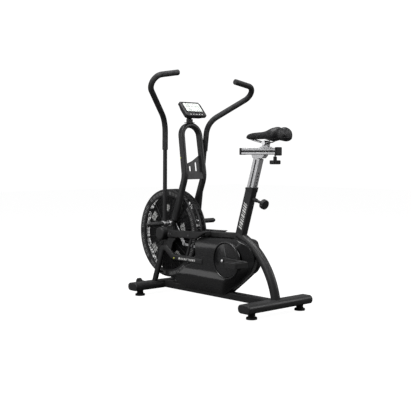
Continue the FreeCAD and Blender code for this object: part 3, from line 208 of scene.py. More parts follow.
FRAME_BLACK = (0.0145, 0.0145, 0.015)
PLASTIC_BLACK = (0.0145, 0.0145, 0.015)
MATERIALS = {
    "frame_paint": powder_coat("frame_powder_coat", FRAME_BLACK),
    "guard_paint": powder_coat("guard_powder_coat", (0.008, 0.008, 0.0085), 0.42),
    "fan_metal": metal("coated_fan_sheet", (0.012, 0.012, 0.013), 0.45, (1.0, 1.0, 1.0), 120.0),
    "black_plastic": grained_plastic("grained_black_plastic", PLASTIC_BLACK),
    "gloss_black": smooth_plastic("smooth_black_plastic", (0.008, 0.008, 0.0085)),
    "anodised": metal("silver_anodised", (0.58, 0.58, 0.59), 0.46, (8.0, 1.0, 1.0)),
    "chrome_plate": metal("bright_plate", (0.55, 0.55, 0.56), 0.26, (1.0, 1.0, 1.0), 90.0, 0.0001),
    "plain_steel": metal("bare_steel", (0.12, 0.12, 0.125), 0.36, (1.0, 4.0, 4.0)),
    "foam": foam("grip_foam", (0.024, 0.024, 0.0245)),
    "rubber_black": grained_plastic("moulded_rubber", (0.010, 0.010, 0.010), 0.7, 240.0, 0.0004),
    "vinyl": vinyl("saddle_vinyl", (0.007, 0.007, 0.0075)),
    "display": smooth_plastic("display_window", (0.42, 0.44, 0.42), 0.2),
    "bronze": metal("sintered_bronze", (0.42, 0.30, 0.15), 0.5, (1.0, 1.0, 1.0)),
}
PRINT = grained_plastic("pale_screen_print", (0.50, 0.50, 0.49), 0.5, 600.0, 0.0001)
BRIGHT_SCREW = metal("polished_screw", (0.92, 0.92, 0.93), 0.45, (1.0, 1.0, 1.0), 90.0, 0.0001)
FAINT_PRINT = grained_plastic("grey_screen_print", (0.15, 0.15, 0.15), 0.5, 600.0, 0.0001)
ACCENT = grained_plastic("yellow_green_print", (0.50, 0.52, 0.10), 0.5, 600.0, 0.0001)
SEGMENT = grained_plastic("display_segment", (0.10, 0.12, 0.11), 0.4, 800.0, 0.0001)


def dress_cad():
    """Gives every carried-over CAD node the material of its slot."""
    slots = {row["node"]: row["material_slot"] for row in frame["record"]["subparts"]}
    for name, item in nodes.items():
        item.data.materials.clear()
        item.data.materials.append(MATERIALS[slots[name]])


dress_cad()


# ---------------------------------------------------------------- mesh building blocks, in millimetres
def grid(shape, rows, closed=False, looped=False, caps=False):
    """Adds rows of points as faces.

    closed joins the ends of each row, and looped joins the last row to the first.
    """
    made = [[shape.verts.new(Vector(point) * MM) for point in row] for row in rows]
    count = len(rows[0])
    for r in range(len(rows) if looped else len(rows) - 1):
        low, high = made[r], made[(r + 1) % len(rows)]
        for i in range(count if closed else count - 1):
            j = (i + 1) % count
            shape.faces.new((low[i], low[j], high[j], high[i]))
    if caps:
        shape.faces.new(made[0][::-1])
        shape.faces.new(made[-1])


def wire(shape, points, radius, reference, sides=6, closed=False):
    """Adds a round bar along points. The reference is any direction that is never along it."""
    rows = []
    count = len(points)
    for i, point in enumerate(points):
        ahead = points[(i + 1) % count] if closed or i + 1 < count else point
        behind = points[i - 1] if closed or i else point
        along = (Vector(ahead) - Vector(behind)).normalized()
        out = along.cross(Vector(reference)).normalized()
        up = out.cross(along)
        turns = [2 * pi * k / sides for k in range(sides)]
        rows.append([Vector(point) + (out * cos(a) + up * sin(a)) * radius for a in turns])
    grid(shape, rows, closed=True, looped=closed, caps=not closed)


def lathe(shape, centre, profile, steps=96, looped=False):
    """Turns a profile of (radius, x) points about the X direction through centre, (y, z)."""
    rows = []
    for radius, x in profile:
        turns = [2 * pi * k / steps for k in range(steps)]
        rows.append([(x, centre[0] + radius * cos(a), centre[1] + radius * sin(a)) for a in turns])
    grid(shape, rows, closed=True, looped=looped)


def prism(shape, outline, push):
    """Adds a flat outline pushed along a direction."""
    grid(shape, [outline, [Vector(p) + Vector(push) for p in outline]], closed=True, caps=True)


def shade(item, sharp_angle):
    item.data.shade_smooth()
    item.data.set_sharp_from_angle(angle=radians(sharp_angle))


def piece(name, shape, body, slot, replaces=(), sharp_angle=35.0, material=None):
    """A bmesh as a named piece that rides a body."""
    bmesh.ops.recalc_face_normals(shape, faces=shape.faces)
    mesh = bpy.data.meshes.new(name)
    shape.to_mesh(mesh)
    shape.free()
    item = bpy.data.objects.new(name, mesh)
    scene.collection.objects.link(item)
    mesh.materials.append(material or MATERIALS[slot])
    shade(item, sharp_angle)
    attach(item, body)
    if replaces:
        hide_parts(*replaces)
    return item


def bevel(item, width, angle=32.0, segments=3):
    rounding = item.modifiers.new("edge_rounding", "BEVEL")
    rounding.width = width * MM
    rounding.segments = segments
    rounding.limit_method = "ANGLE"
    rounding.angle_limit = radians(angle)
    rounding.harden_normals = True


def node_slot(name):
    return next(row["material_slot"] for row in frame["record"]["subparts"] if row["node"] == name)


def node_body(name):
    return next(body for body, held in frame["record"]["behaviour"]["bodies"].items() if name in held)


def softened(name, width, angle=32.0):
    """Stands for a CAD node with the same form and rounded edges, which catch the light."""
    shape = bmesh.new()
    shape.from_mesh(nodes[name].data)
    bmesh.ops.remove_doubles(shape, verts=shape.verts, dist=0.00001)
    bmesh.ops.dissolve_limit(shape, angle_limit=radians(0.6), verts=shape.verts, edges=shape.edges)
    item = piece(name + "_finished", shape, node_body(name), node_slot(name), (name,))
    bevel(item, width, angle)
    return item


def size_of(name):
    """The low and high corners of a CAD node's box, in millimetres."""
    low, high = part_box(name)
    return low / MM, high / MM


def side_centre(low, high):
    """(y, z) of the middle of a box."""
    return ((low.y + high.y) / 2, (low.z + high.z) / 2)


def around(centre, radius, angle, x):
    """A point at a radius and an angle round a (y, z) centre, in the plane x."""
    return (x, centre[0] + radius * cos(angle), centre[1] + radius * sin(angle))


# ---------------------------------------------------------------- fan guard
BAND = 46.0                    # width of the broad outer ring
HUB_RING = 51.0                # outside radius of the ring round the hub
HUB_REACH = 48.0               # where the spokes and fine wires start
RING_STEP = 8.0                # between the round wires
RING_WIRE = 1.5                # radius of a round wire
RING_FACE = 41.4               # x of the round wires
SPOKES = 16
SPOKE_WIRE = 2.4
SPOKE_FACE = 42.4
FINE_WIRES = 64
FINE_WIRE = 1.3
FINE_FACE = 40.0
RIM_BARS = 60
RIM_SPAN = (5, 33)             # x of the ends of the bars across the rim
RIM_RINGS = (14.5, 23.0)       # x of the rings round the rim
RIM_DEPTH = 1.8                # of the rim's bars under its outside
BOLTS = 8
BADGES = (14.0, 90.0, 141.0, 218.0, 305.0)     # angles of the badges round the fan
BADGE_RADII = (134.0, 181.0)
BADGE_HALF_TURN = 11.5         # degrees
# inner and outer radius of a badge's three lines of dashes, and degrees from dash to dash
BADGE_LINES = ((138.0, 150.0, 2.6), (153.0, 160.0, 3.4), (163.0, 177.0, 2.9))
BADGE_DASHES = 7
BADGE_PRINT_FACE = (44.2, 44.2)
RING_GROUPS = 8                # groups of faint dashes round the broad ring
RING_BARS = 15
RING_STEP_ANGLE = 2.5          # degrees from bar to bar
RING_PRINT_FACE = (43.3, 43.9)
PRINT_LIFT = 0.3               # how thick the guard's print is


def guard_circle(centre, radius, x, steps=96):
    return [around(centre, radius, 2 * pi * k / steps, x) for k in range(steps)]


def guard_piece(name, side):
    """A cage in full: broad ring, hub ring, round wires, spokes, fine wires, rim and bolts."""
    low, high = size_of("guard_" + name)
    centre = side_centre(low, high)
    full = (high.y - low.y) / 2
    inner = full - BAND
    shape = bmesh.new()
    ring = [(inner, 40.0), (inner + 0.6, 42.4), (inner + 2, 42.8), (full - 10, 43.9), (full - 5, 44.0),
            (full - 1.5, 42.8), (full, 39.5), (full, 31.0), (full - 2, 31.0),
            (full - 2, 39.0), (full - 4, 41.2), (inner + 3, 40.6)]
    rim = [(full, 0.5), (full, 7.0), (full - 2.5, 7.0), (full - 2.5, 0.5)]
    hub = [(22, 40.5), (22, 43.0), (24, 43.6), (HUB_REACH, 43.6), (HUB_RING, 42.6), (HUB_RING, 40.5)]
    for profile in (ring, rim, hub):
        lathe(shape, centre, [(r, side * x) for r, x in profile], 128, looped=True)
    radius = HUB_RING + RING_STEP
    while radius < inner - 4:
        wire(shape, guard_circle(centre, radius, side * RING_FACE), RING_WIRE, X_AXIS, closed=True)
        radius += RING_STEP
    spans = (HUB_REACH, inner + 4)
    for spoke in range(SPOKES):
        turn = 2 * pi * (spoke + 0.5) / SPOKES
        wire(shape, [around(centre, r, turn, side * SPOKE_FACE) for r in spans], SPOKE_WIRE, X_AXIS, 8)
    for fine in range(FINE_WIRES):
        turn = 2 * pi * fine / FINE_WIRES
        wire(shape, [around(centre, r, turn, side * FINE_FACE) for r in spans], FINE_WIRE, X_AXIS)
    reach = full - RIM_DEPTH
    for bar in range(RIM_BARS):
        turn = 2 * pi * bar / RIM_BARS
        ends = [around(centre, reach, turn, side * x) for x in RIM_SPAN]
        wire(shape, ends, RING_WIRE, (0, -sin(turn), cos(turn)))
    for x in RIM_RINGS:
        wire(shape, guard_circle(centre, reach, side * x), FINE_WIRE, X_AXIS, closed=True)
    head = [(4.5, 43.0), (4.2, 45.2), (2.0, 45.8), (0.1, 45.0)]
    for bolt in range(BOLTS):
        place = around(centre, full - 8, 2 * pi * (bolt + 0.25) / BOLTS, 0)[1:]
        lathe(shape, place, [(r, side * x) for r, x in head], 14)
    piece("guard_cage_" + name, shape, "frame", "guard_paint", ("guard_" + name,))
    print_ring(name, side, centre, full)


def slanted_row(shape, side, centre, radii, places, step, face):
    """Slanted dashes on the guard between two radii, at some angles, on a face that may slope."""
    lean = radians(step * 0.35)
    for bar, place in enumerate(places):
        width = radians(step * (0.42 if bar % 3 else 0.22))
        corners = [around(centre, radii[k], radians(place) + shift, side * face[k])
                   for k, shift in ((0, 0.0), (1, lean), (1, lean + width), (0, width))]
        prism(shape, corners, (side * PRINT_LIFT, 0, 0))


def print_ring(name, side, centre, full):
    """Faint generic dashes round the broad ring, and bright ones on the badges nearer the hub."""
    faint = bmesh.new()
    radii = (full - 33.0, full - 13.0)
    for group in range(RING_GROUPS):
        start = 360.0 * (group + 0.5) / RING_GROUPS
        places = [start + RING_STEP_ANGLE * (bar - RING_BARS / 2) for bar in range(RING_BARS)]
        slanted_row(faint, side, centre, radii, places, RING_STEP_ANGLE, RING_PRINT_FACE)
    piece("guard_ring_print_" + name, faint, "frame", "display", material=FAINT_PRINT)
    bright = bmesh.new()
    for middle in BADGES:
        for low, high, step in BADGE_LINES:
            places = [middle + step * (bar - BADGE_DASHES // 2) for bar in range(BADGE_DASHES)]
            slanted_row(bright, side, centre, (low, high), places, step * 1.3, BADGE_PRINT_FACE)
    piece("guard_print_" + name, bright, "frame", "display", material=PRINT)


def badge_plates(name, side):
    """The curved plates under the badges' print."""
    centre = side_centre(*size_of("guard_" + name))
    shape = bmesh.new()
    for badge in BADGES:
        turns = [radians(badge + BADGE_HALF_TURN * (k / 4 - 1)) for k in range(9)]
        inside, outside = ([around(centre, radius, turn, side * 42.9) for turn in turns]
                           for radius in BADGE_RADII)
        prism(shape, inside + outside[::-1], (side * 1.2, 0, 0))
    item = piece("guard_badges_" + name, shape, "frame", "guard_paint")
    bevel(item, 0.4)


# ---------------------------------------------------------------- shroud
CRANK = (255.0, 274.0)         # (y, z) of the crank axle
MOUTH = 98.0                   # radius of the round opening round the crank disc
SHROUD_EDGE = 7.0              # rounding of the outline
SHROUD_WALL = 2.6
ROUNDING = 0.3                 # sharpness of the creases between the shroud's panels
FLAT_HEIGHT = 90.0             # near the panels' own heights, which keeps the exponents small
LEAST_HEIGHT = 12.0            # of a half's side from the middle plane
MOUTH_ROWS = 24                # rows of faces from the opening out to the outline
OUTLINE_STEP = 14.0            # about how far apart the points of a straight run are
# corner points (y, z) of the side view
SHROUD_DECK = [(-22, 362), (4, 382), (200, 389), (300, 391)]
SHROUD_REAR_HIGH = (382, 354)
SHROUD_REAR = (412, 285)
SHROUD_REAR_LOW = (404, 243)
SHROUD_HEEL = (374, 203)
SHROUD_UNDER = [(294, 138), (205, 80), (190, 67), (-186, 67), (-226, 114), (-158, 164), (-104, 208),
                (-60, 226), (-38, 232)]
SHROUD_FRONT = [(-38, 262), (-16, 275), (-22, 362)]     # the open end, over the fan
# profiles (radius, x) of the lips round the crank discs
LEFT_LIP = [(MOUTH, 80.0), (MOUTH, 96.5), (MOUTH + 1.5, 98.6), (MOUTH + 4.5, 99.2),
            (MOUTH + 7.5, 98.2), (MOUTH + 9, 95.5), (MOUTH + 9, 84.0), (MOUTH + 6, 80.0)]
RIGHT_LIP = [(MOUTH - 1.5, 80.0), (MOUTH - 1.5, 91.5), (MOUTH, 93.0), (MOUTH + 1.5, 92.0),
             (MOUTH + 2, 90.0), (MOUTH + 2, 80.0)]


def arc_through(a, b, c, steps):
    """Points of the circle through three (y, z) points, from a to c."""
    a, b, c = Vector(a), Vector(b), Vector(c)
    squares = [point.length_squared for point in (a, b, c)]
    rises = (b.y - c.y, c.y - a.y, a.y - b.y)
    runs = (c.x - b.x, a.x - c.x, b.x - a.x)
    d = 2 * sum(point.x * rise for point, rise in zip((a, b, c), rises))
    u = sum(square * rise for square, rise in zip(squares, rises)) / d
    v = sum(square * run for square, run in zip(squares, runs)) / d
    radius = (a - Vector((u, v))).length
    first = atan2(a.y - v, a.x - u)
    last = atan2(c.y - v, c.x - u)
    last -= 2 * pi if last > first else 0.0
    return [(u + radius * cos(first + (last - first) * k / steps),
             v + radius * sin(first + (last - first) * k / steps)) for k in range(steps + 1)]


def shroud_outline():
    """(y, z) points round the side of the shroud, and whether each one has a wall to the middle."""
    walled = SHROUD_DECK + arc_through(SHROUD_DECK[-1], SHROUD_REAR_HIGH, SHROUD_REAR, 10)[1:]
    walled += arc_through(SHROUD_REAR, SHROUD_REAR_LOW, SHROUD_HEEL, 6)[1:] + SHROUD_UNDER
    whole = walled + SHROUD_FRONT
    points, walls = [], []
    for i, (start, end) in enumerate(zip(whole, whole[1:])):
        start, end = Vector(start), Vector(end)
        parts = max(1, round((end - start).length / OUTLINE_STEP))
        for k in range(parts):
            points.append(start.lerp(end, k / parts))
            walls.append(i < len(walled) - 1)
    return points, walls


def shroud_height(y, z):
    """How far the left half stands out at a point of its side: the least of its panels, blended."""
    panels = [99.0 - 0.235 * (min(z, 194.0) - 152.0),          # belt, and flat side above it
              99.0 - 0.64 * (152.0 - z),                       # undercut
              90.0 - 0.51 * (z - 345.0),                       # shoulder
              100.0 - 0.625 * (y - 294.0),                     # rear taper
              -(0.62 * (y - 306.0) - 0.79 * (z - 142.0)) / 0.5]     # bilge
    total = sum(exp(-ROUNDING * (panel - FLAT_HEIGHT)) for panel in panels)
    return max(LEAST_HEIGHT, FLAT_HEIGHT - log(total) / ROUNDING)


def shroud_piece(name, side):
    """A half of the shroud: rows from the round opening to the outline, then walls to the middle."""
    shape = bmesh.new()
    centre = Vector(CRANK)
    points, walls = shroud_outline()
    rows = []
    for point in points:
        spoke = point - centre
        out = spoke.normalized()
        length = spoke.length - SHROUD_EDGE
        row = []
        for k in range(MOUTH_ROWS + 1):
            place = centre + out * (MOUTH + (length - MOUTH) * k / MOUTH_ROWS)
            row.append((side * shroud_height(place.x, place.y), place.x, place.y))
        edge = shroud_height(*(centre + out * length))
        for bend in (22.5, 45.0, 67.5, 90.0):
            place = centre + out * (length + SHROUD_EDGE * sin(radians(bend)))
            row.append((side * (edge - SHROUD_EDGE * (1 - cos(radians(bend)))), place.x, place.y))
        rows.append(row)
    columns = list(zip(*rows))
    grid(shape, columns, closed=True)
    rim = columns[-1]
    for i, wall in enumerate(walls):
        if wall:
            start, end = Vector(rim[i]), Vector(rim[(i + 1) % len(rim)])
            steps = [start, end, Vector((side * 0.4, end.y, end.z)), Vector((side * 0.4, start.y, start.z))]
            shape.faces.new([shape.verts.new(p * MM) for p in steps])
    bmesh.ops.remove_doubles(shape, verts=shape.verts, dist=0.0002)
    item = piece("shroud_shell_" + name, shape, "frame", "gloss_black", ("shroud_" + name,), 50.0)
    thick = item.modifiers.new("wall", "SOLIDIFY")
    thick.thickness = SHROUD_WALL * MM
    thick.offset = -1.0
    lip = bmesh.new()
    profile = LEFT_LIP if side == LEFT else RIGHT_LIP
    lathe(lip, CRANK, [(r, side * x) for r, x in profile], 128, looped=True)
    piece("shroud_ring_" + name, lip, "frame", "gloss_black")


# ---------------------------------------------------------------- console
SCREEN = Vector((0.0, -141.0, 1150.0))
TILT = radians(48.0)
BEZEL = (66.0, 38.0)           # half width and half height
BEZEL_BAR = 5.0
WINDOW = (60.8, 32.8)          # half width and half height
DIGIT_ROWS = ((-26.0, 6.0), (-14.0, 14.0), (6.0, 6.0), (17.0, 11.0))     # place and height
DIGITS_WIDE = 108.0
DIGITS_FACE = (3.2, 3.4)
MARKS_FACE = (2.0, 2.35)


def on_console(x, y, z):
    """A place in the console's own axes: across, down its face, and out of its face."""
    return SCREEN + Vector((x, y * cos(TILT) + z * sin(TILT), -y * sin(TILT) + z * cos(TILT)))


def console_slab(shape, x, y, z, corner=0.0, steps=4):
    """A rounded plate on the console's face, from three (low, high) pairs."""
    outline = []
    for turn, (cx, cy) in enumerate(((x[1], y[1]), (x[0], y[1]), (x[0], y[0]), (x[1], y[0]))):
        inx = cx - corner if cx == x[1] else cx + corner
        iny = cy - corner if cy == y[1] else cy + corner
        for k in range(steps + 1):
            angle = pi / 2 * (turn + k / steps)
            outline.append(on_console(inx + corner * cos(angle), iny + corner * sin(angle), z[0]))
    prism(shape, outline, on_console(0, 0, z[1]) - on_console(0, 0, z[0]))


def console_pieces():
    softened("console_case", 2.5, 25.0)
    shape = bmesh.new()
    width, depth = BEZEL
    bars = [((-width, width), (-depth, -depth + BEZEL_BAR)), ((-width, width), (depth - BEZEL_BAR, depth)),
            ((-width, -width + BEZEL_BAR), (-depth, depth)), ((width - BEZEL_BAR, width), (-depth, depth))]
    for x, y in bars:
        console_slab(shape, x, y, (0.5, 4.2), 2.0)
    bezel = piece("console_bezel", shape, "console", "gloss_black")
    bevel(bezel, 0.9)
    window = bmesh.new()
    console_slab(window, (-WINDOW[0], WINDOW[0]), (-WINDOW[1], WINDOW[1]), (1.0, 3.2), 1.0)
    piece("console_window", window, "console", "display", ("console_screen",))
    ink = bmesh.new()
    for row, high in DIGIT_ROWS:
        count = 6 if high < 10 else 5
        reach = DIGITS_WIDE / count
        for cell in range(count):
            left = -DIGITS_WIDE / 2 + cell * reach
            for part in range(3):
                if (cell + part) % 4 == 3:
                    continue
                x0 = left + reach * (0.08 + 0.28 * part)
                console_slab(ink, (x0, x0 + reach * 0.16), (row, row + high), DIGITS_FACE)
    piece("console_digits", ink, "console", "display", material=SEGMENT)
    marks = bmesh.new()
    for k in range(5):
        x = -44.0 + 22.0 * k
        console_slab(marks, (x - 5, x + 5), (56.5, 59.0), MARKS_FACE, 1.0)
    console_slab(marks, (-76.0, -70.0), (-38.0, -32.0), MARKS_FACE, 2.0)
    piece("console_marks", marks, "console", "display", material=PRINT)


# ---------------------------------------------------------------- drive chain
LINK = 12.7                    # pitch
CHAIN_X = -49.0                # middle of the chain
PLATE_HEIGHT = 4.2             # half height of a side plate
PLATE_OUTLINE = ((-0.42, 0.5), (-0.2, 1.0), (0.15, 0.8), (0.5, 0.62), (0.85, 0.8), (1.2, 1.0), (1.42, 0.5))
PLATE_OFFSETS = (1.9, 3.1)     # of the inner and the outer side plates from the middle
FAN_SPROCKET = 23.4            # radius of the pins' path round the fan's sprocket


def chain_route():
    """(y, z) of the chain's pins: round the chainring, along, round the fan's sprocket and back."""
    ring_low, ring_high = size_of("chainring")
    fan_low, fan_high = size_of("fan_hub")
    big = Vector(side_centre(ring_low, ring_high))
    small = Vector(side_centre(fan_low, fan_high))
    big_r = (ring_high.y - ring_low.y) / 2 - 1.0
    apart = small - big
    lean = atan2(apart.y, apart.x)
    spread = acos((big_r - FAN_SPROCKET) / apart.length)
    points = []
    steps = 90
    for k in range(steps + 1):
        angle = lean + spread + (2 * pi - 2 * spread) * k / steps
        points.append(big + Vector((cos(angle), sin(angle))) * big_r)
    for k in range(steps // 3 + 1):
        angle = lean - spread + 2 * spread * k / (steps // 3)
        points.append(small + Vector((cos(angle), sin(angle))) * FAN_SPROCKET)
    points.append(points[0])
    return points


def resampled(points, step):
    """An even number of points along a line, as near as that allows to a step apart."""
    length = sum((b - a).length for a, b in zip(points, points[1:]))
    count = 2 * round(length / step / 2)
    step = length / count
    made, walked, target = [], 0.0, 0.0
    for a, b in zip(points, points[1:]):
        reach = (b - a).length
        while target <= walked + reach and len(made) < count:
            made.append(a.lerp(b, (target - walked) / reach if reach else 0.0))
            target += step
        walked += reach
    return made


def chain_piece():
    shape = bmesh.new()
    pins = resampled(chain_route(), LINK)
    for i, start in enumerate(pins):
        end = pins[(i + 1) % len(pins)]
        along = (end - start).normalized()
        across = Vector((-along.y, along.x))
        offset = PLATE_OFFSETS[i % 2]
        ring = list(PLATE_OUTLINE) + [(shift, -height) for shift, height in PLATE_OUTLINE[::-1]]
        for side in (LEFT, RIGHT):
            corners = []
            for shift, height in ring:
                place = start + along * (LINK * (shift * 0.78 + 0.11)) + across * (PLATE_HEIGHT * height)
                corners.append((CHAIN_X + side * offset, place.x, place.y))
            prism(shape, corners, (side * 1.0, 0, 0))
        roller = [(3.6, -1.9), (3.9, -1.2), (3.9, 1.2), (3.6, 1.9)]
        lathe(shape, (start.x, start.y), [(radius, CHAIN_X + x) for radius, x in roller], 10)
    piece("chain_links", shape, "frame", "plain_steel", ("drive_chain",))


# ---------------------------------------------------------------- printed marks
SLANT = 0.3                    # lean of a bar, of its height
BAR_GAP = 0.6                  # in the units of the bars' widths
BAR_LIFT = 0.35                # how thick the frame's print is


def slanted_bars(name, body, origin, along, up, normal, length, height, widths, material):
    """A row of slanted bars of the given relative widths, on a flat face."""
    shape = bmesh.new()
    along, up, normal = Vector(along).normalized(), Vector(up).normalized(), Vector(normal).normalized()
    unit = length / (sum(widths) + BAR_GAP * (len(widths) - 1))
    place = 0.0
    for width in widths:
        corners = [Vector(origin) + along * (place + shift) + up * rise
                   for shift, rise in ((0, 0), (width * unit, 0), (width * unit + SLANT * height, height),
                                       (SLANT * height, height))]
        prism(shape, corners, normal * BAR_LIFT)
        place += (width + BAR_GAP) * unit
    piece(name, shape, body, "display", material=material)


SEAT_LEAN = radians(17.5)
SEAT_UP = Vector((0.0, sin(SEAT_LEAN), cos(SEAT_LEAN)))
SEAT_BACK = Vector((0.0, cos(SEAT_LEAN), -sin(SEAT_LEAN)))
SEAT_POINT = Vector((0.0, 365.0, 680.0))       # a point on the seat tube's axis
Y_AXIS = Vector((0.0, 1.0, 0.0))
Z_AXIS = Vector((0.0, 0.0, 1.0))
SEAT_TUBE_BARS = (0.9, 0.5, 1.1, 0.8, 0.4, 1.2, 0.5, 1.0, 0.7, 0.9, 0.5)      # relative widths
STAY_BARS = (1.2, 0.6, 0.5, 0.8, 0.6, 0.9, 0.4, 0.7, 0.8, 0.5)
ACCENT_BAR = (1.0,)
UPRIGHT_FACE = 87.0            # x just outside the upright's leg
POST_FACE = 15.7               # x of the inner face of the dark strip of painted shade in the post's groove
POST_BACK = 24.4               # from the post's axis to the inner face of the discs of painted hole shade
POST_HOLES = 9
POST_HOLE_STEP = 18.0          # in height
FIRST_HOLE_Z = 774.0
# a dark disc over each height hole is painted shade of the hole
HOLE_SHADE_RADIUS = 4.3
# the dark strips in the post's grooves are painted shade
STRIP_HALF_WIDTH = 4.9
STRIP_START = -118.0           # along the post's axis, from the seat point
STRIP_LENGTH = 284.0


def print_marks():
    """Generic bars where the frame carries print, and small accents, on both sides."""
    tube_face = size_of("seat_tube")[1].x + 0.05
    stay_face = size_of("side_tubes")[1].x + 0.05
    for name, side in SIDES:
        out = (side, 0, 0)
        foot = SEAT_POINT + Vector((side * tube_face, 0, 0)) + SEAT_UP * -241.0 + SEAT_BACK * 14.0
        slanted_bars("seat_tube_print_" + name, "frame", foot, SEAT_UP, -SEAT_BACK, out, 148.0, 27.0,
                     SEAT_TUBE_BARS, PRINT)
        x = side * stay_face
        slanted_bars("stay_print_" + name, "frame", (x, -164.0, 240.0), Y_AXIS, Z_AXIS, out, 150.0, 12.0,
                     STAY_BARS, PRINT)
        slanted_bars("stay_accent_" + name, "frame", (x, -212.0, 240.0), Y_AXIS, Z_AXIS, out, 9.0, 9.0,
                     ACCENT_BAR, ACCENT)
        x = side * UPRIGHT_FACE
        slanted_bars("upright_accent_" + name, "frame", (x, -153.0, 845.0), Y_AXIS, Z_AXIS, out, 7.0, 9.0,
                     ACCENT_BAR, ACCENT)


def seat_details():
    """Painted shade of the post's and rail's grooves and height holes; the sleeve on the rail's front."""
    strips = bmesh.new()
    rail_low, rail_high = size_of("seat_rail")
    middle = (rail_low.z + rail_high.z) / 2
    for side in (LEFT, RIGHT):
        # dark strips on the floors of the post's grooves: painted shade
        foot = SEAT_POINT + SEAT_UP * STRIP_START + Vector((side * POST_FACE, 0, 0))
        corners = [foot - SEAT_BACK * STRIP_HALF_WIDTH, foot + SEAT_BACK * STRIP_HALF_WIDTH]
        corners += [corners[1] + SEAT_UP * STRIP_LENGTH, corners[0] + SEAT_UP * STRIP_LENGTH]
        prism(strips, corners, (side * 0.8, 0, 0))
        # a dark strip on the floor of the rail's groove and a thin dark line near its top: painted shade
        groove = (middle - 4.8, middle + 4.8, side * (rail_high.x - 3.9))
        line = (rail_high.z - 6.5, rail_high.z - 5.0, side * (rail_high.x - 0.1))
        for low, high, place in (groove, line):
            corners = [(place, rail_low.y + 2, low), (place, rail_high.y - 2, low),
                       (place, rail_high.y - 2, high), (place, rail_low.y + 2, high)]
            prism(strips, corners, (side * 0.4, 0, 0))
    # dark discs over the height holes: painted shade of the holes
    for hole in range(POST_HOLES):
        rise = (FIRST_HOLE_Z - POST_HOLE_STEP * hole - SEAT_POINT.z) / cos(SEAT_LEAN)
        spot = SEAT_POINT + SEAT_UP * rise + SEAT_BACK * POST_BACK
        turns = [2 * pi * k / 16 for k in range(16)]
        outline = [spot + X_AXIS * HOLE_SHADE_RADIUS * cos(a) + SEAT_UP * HOLE_SHADE_RADIUS * sin(a) for a in turns]
        prism(strips, outline, SEAT_BACK * 0.75)
    piece("seat_painted_shade", strips, "seat_post", "black_plastic")
    sleeve = bmesh.new()
    wide = rail_high.x + 1.6
    outline = [(-wide, rail_low.y - 6, rail_low.z - 1), (wide, rail_low.y - 6, rail_low.z - 1),
               (wide, rail_low.y - 6, rail_high.z + 1), (-wide, rail_low.y - 6, rail_high.z + 1)]
    prism(sleeve, outline, (0, 17.0, 0))
    bevel(piece("rail_front_sleeve", sleeve, "seat_post", "black_plastic"), 4.0)


def crank_screws():
    """Bright screw heads at the axle and on the arm's boss."""
    shape = bmesh.new()
    large = [(7.5, 124.6), (7.5, 126.2), (6.0, 127.4), (3.0, 128.0), (0.05, 128.1)]
    small = [(5.5, 119.0), (5.5, 121.0), (4.5, 122.0), (2.0, 122.6), (0.05, 122.7)]
    for side in (LEFT, RIGHT):
        boss = (CRANK[0] + side * 42.0, CRANK[1] - 7.0)
        lathe(shape, CRANK, [(r, side * x) for r, x in large], 24)
        lathe(shape, boss, [(r, side * x) for r, x in small], 20)
    piece("crank_screws", shape, "crank", "chrome_plate", material=BRIGHT_SCREW)


# ---------------------------------------------------------------- saddle
# y, half width, top, bottom
SADDLE = (
    (331, 12, 971, 959), (337, 20, 977, 955), (352, 24, 982, 954), (385, 27, 984, 956),
    (425, 32, 986, 957), (465, 43, 988, 956), (505, 60, 993, 950), (545, 78, 1003, 942),
    (575, 84, 1011, 936), (595, 80, 1012, 936), (607, 66, 1003, 942), (613, 50, 989, 950),
)
SADDLE_STEPS = 40
SADDLE_ROWS = 44
CHANNEL = 10.0                 # half width of the relief channel
CHANNEL_DEPTH = 9.0
CHANNEL_START = (440.0, 90.0)  # y where the channel and the hollow start, and how soon they are full
HOLLOW = 20.0                  # depth of the hollow underneath
EVEN_MESH = 5.0
PUFF_FRAMES = 20
SEAM = 7                       # place of a side seam in a section's points


def spline(values, t):
    """A smooth curve through evenly numbered values, at a place between 0 and their count - 1."""
    i = min(int(t), len(values) - 2)
    u = t - i
    before = values[max(i - 1, 0)]
    after = values[min(i + 2, len(values) - 1)]
    a, b = values[i], values[i + 1]
    return 0.5 * ((2 * a) + (b - before) * u + (2 * before - 5 * a + 4 * b - after) * u ** 2
                  + (3 * a - before - 3 * b + after) * u ** 3)


def saddle_section(t):
    """A closed ring of points across the saddle: full sides, a channel on top, a hollow underneath."""
    y, half, top, bottom = (spline([row[k] for row in SADDLE], t) for k in range(4))
    widest = bottom + 0.42 * (top - bottom)
    droop = max(0.0, min(1.0, (y - CHANNEL_START[0]) / CHANNEL_START[1]))
    row = []
    for k in range(SADDLE_STEPS):
        angle = 2 * pi * k / SADDLE_STEPS
        c, s = cos(angle), sin(angle)
        x = half * (abs(c) ** 0.72) * (1 if c >= 0 else -1)
        if s >= 0:
            z = widest + (top - widest) * s ** 0.78
            z -= CHANNEL_DEPTH * droop * exp(-(x / CHANNEL) ** 2) * s
        else:
            x *= 1 - 0.16 * (-s)
            hollow = HOLLOW * droop * max(0.0, 1 - abs(x) / (half * 0.75 + 1))
            z = widest + (widest - bottom) * -((-s) ** 0.6) + hollow * (-s)
        row.append((x, y, z))
    return row


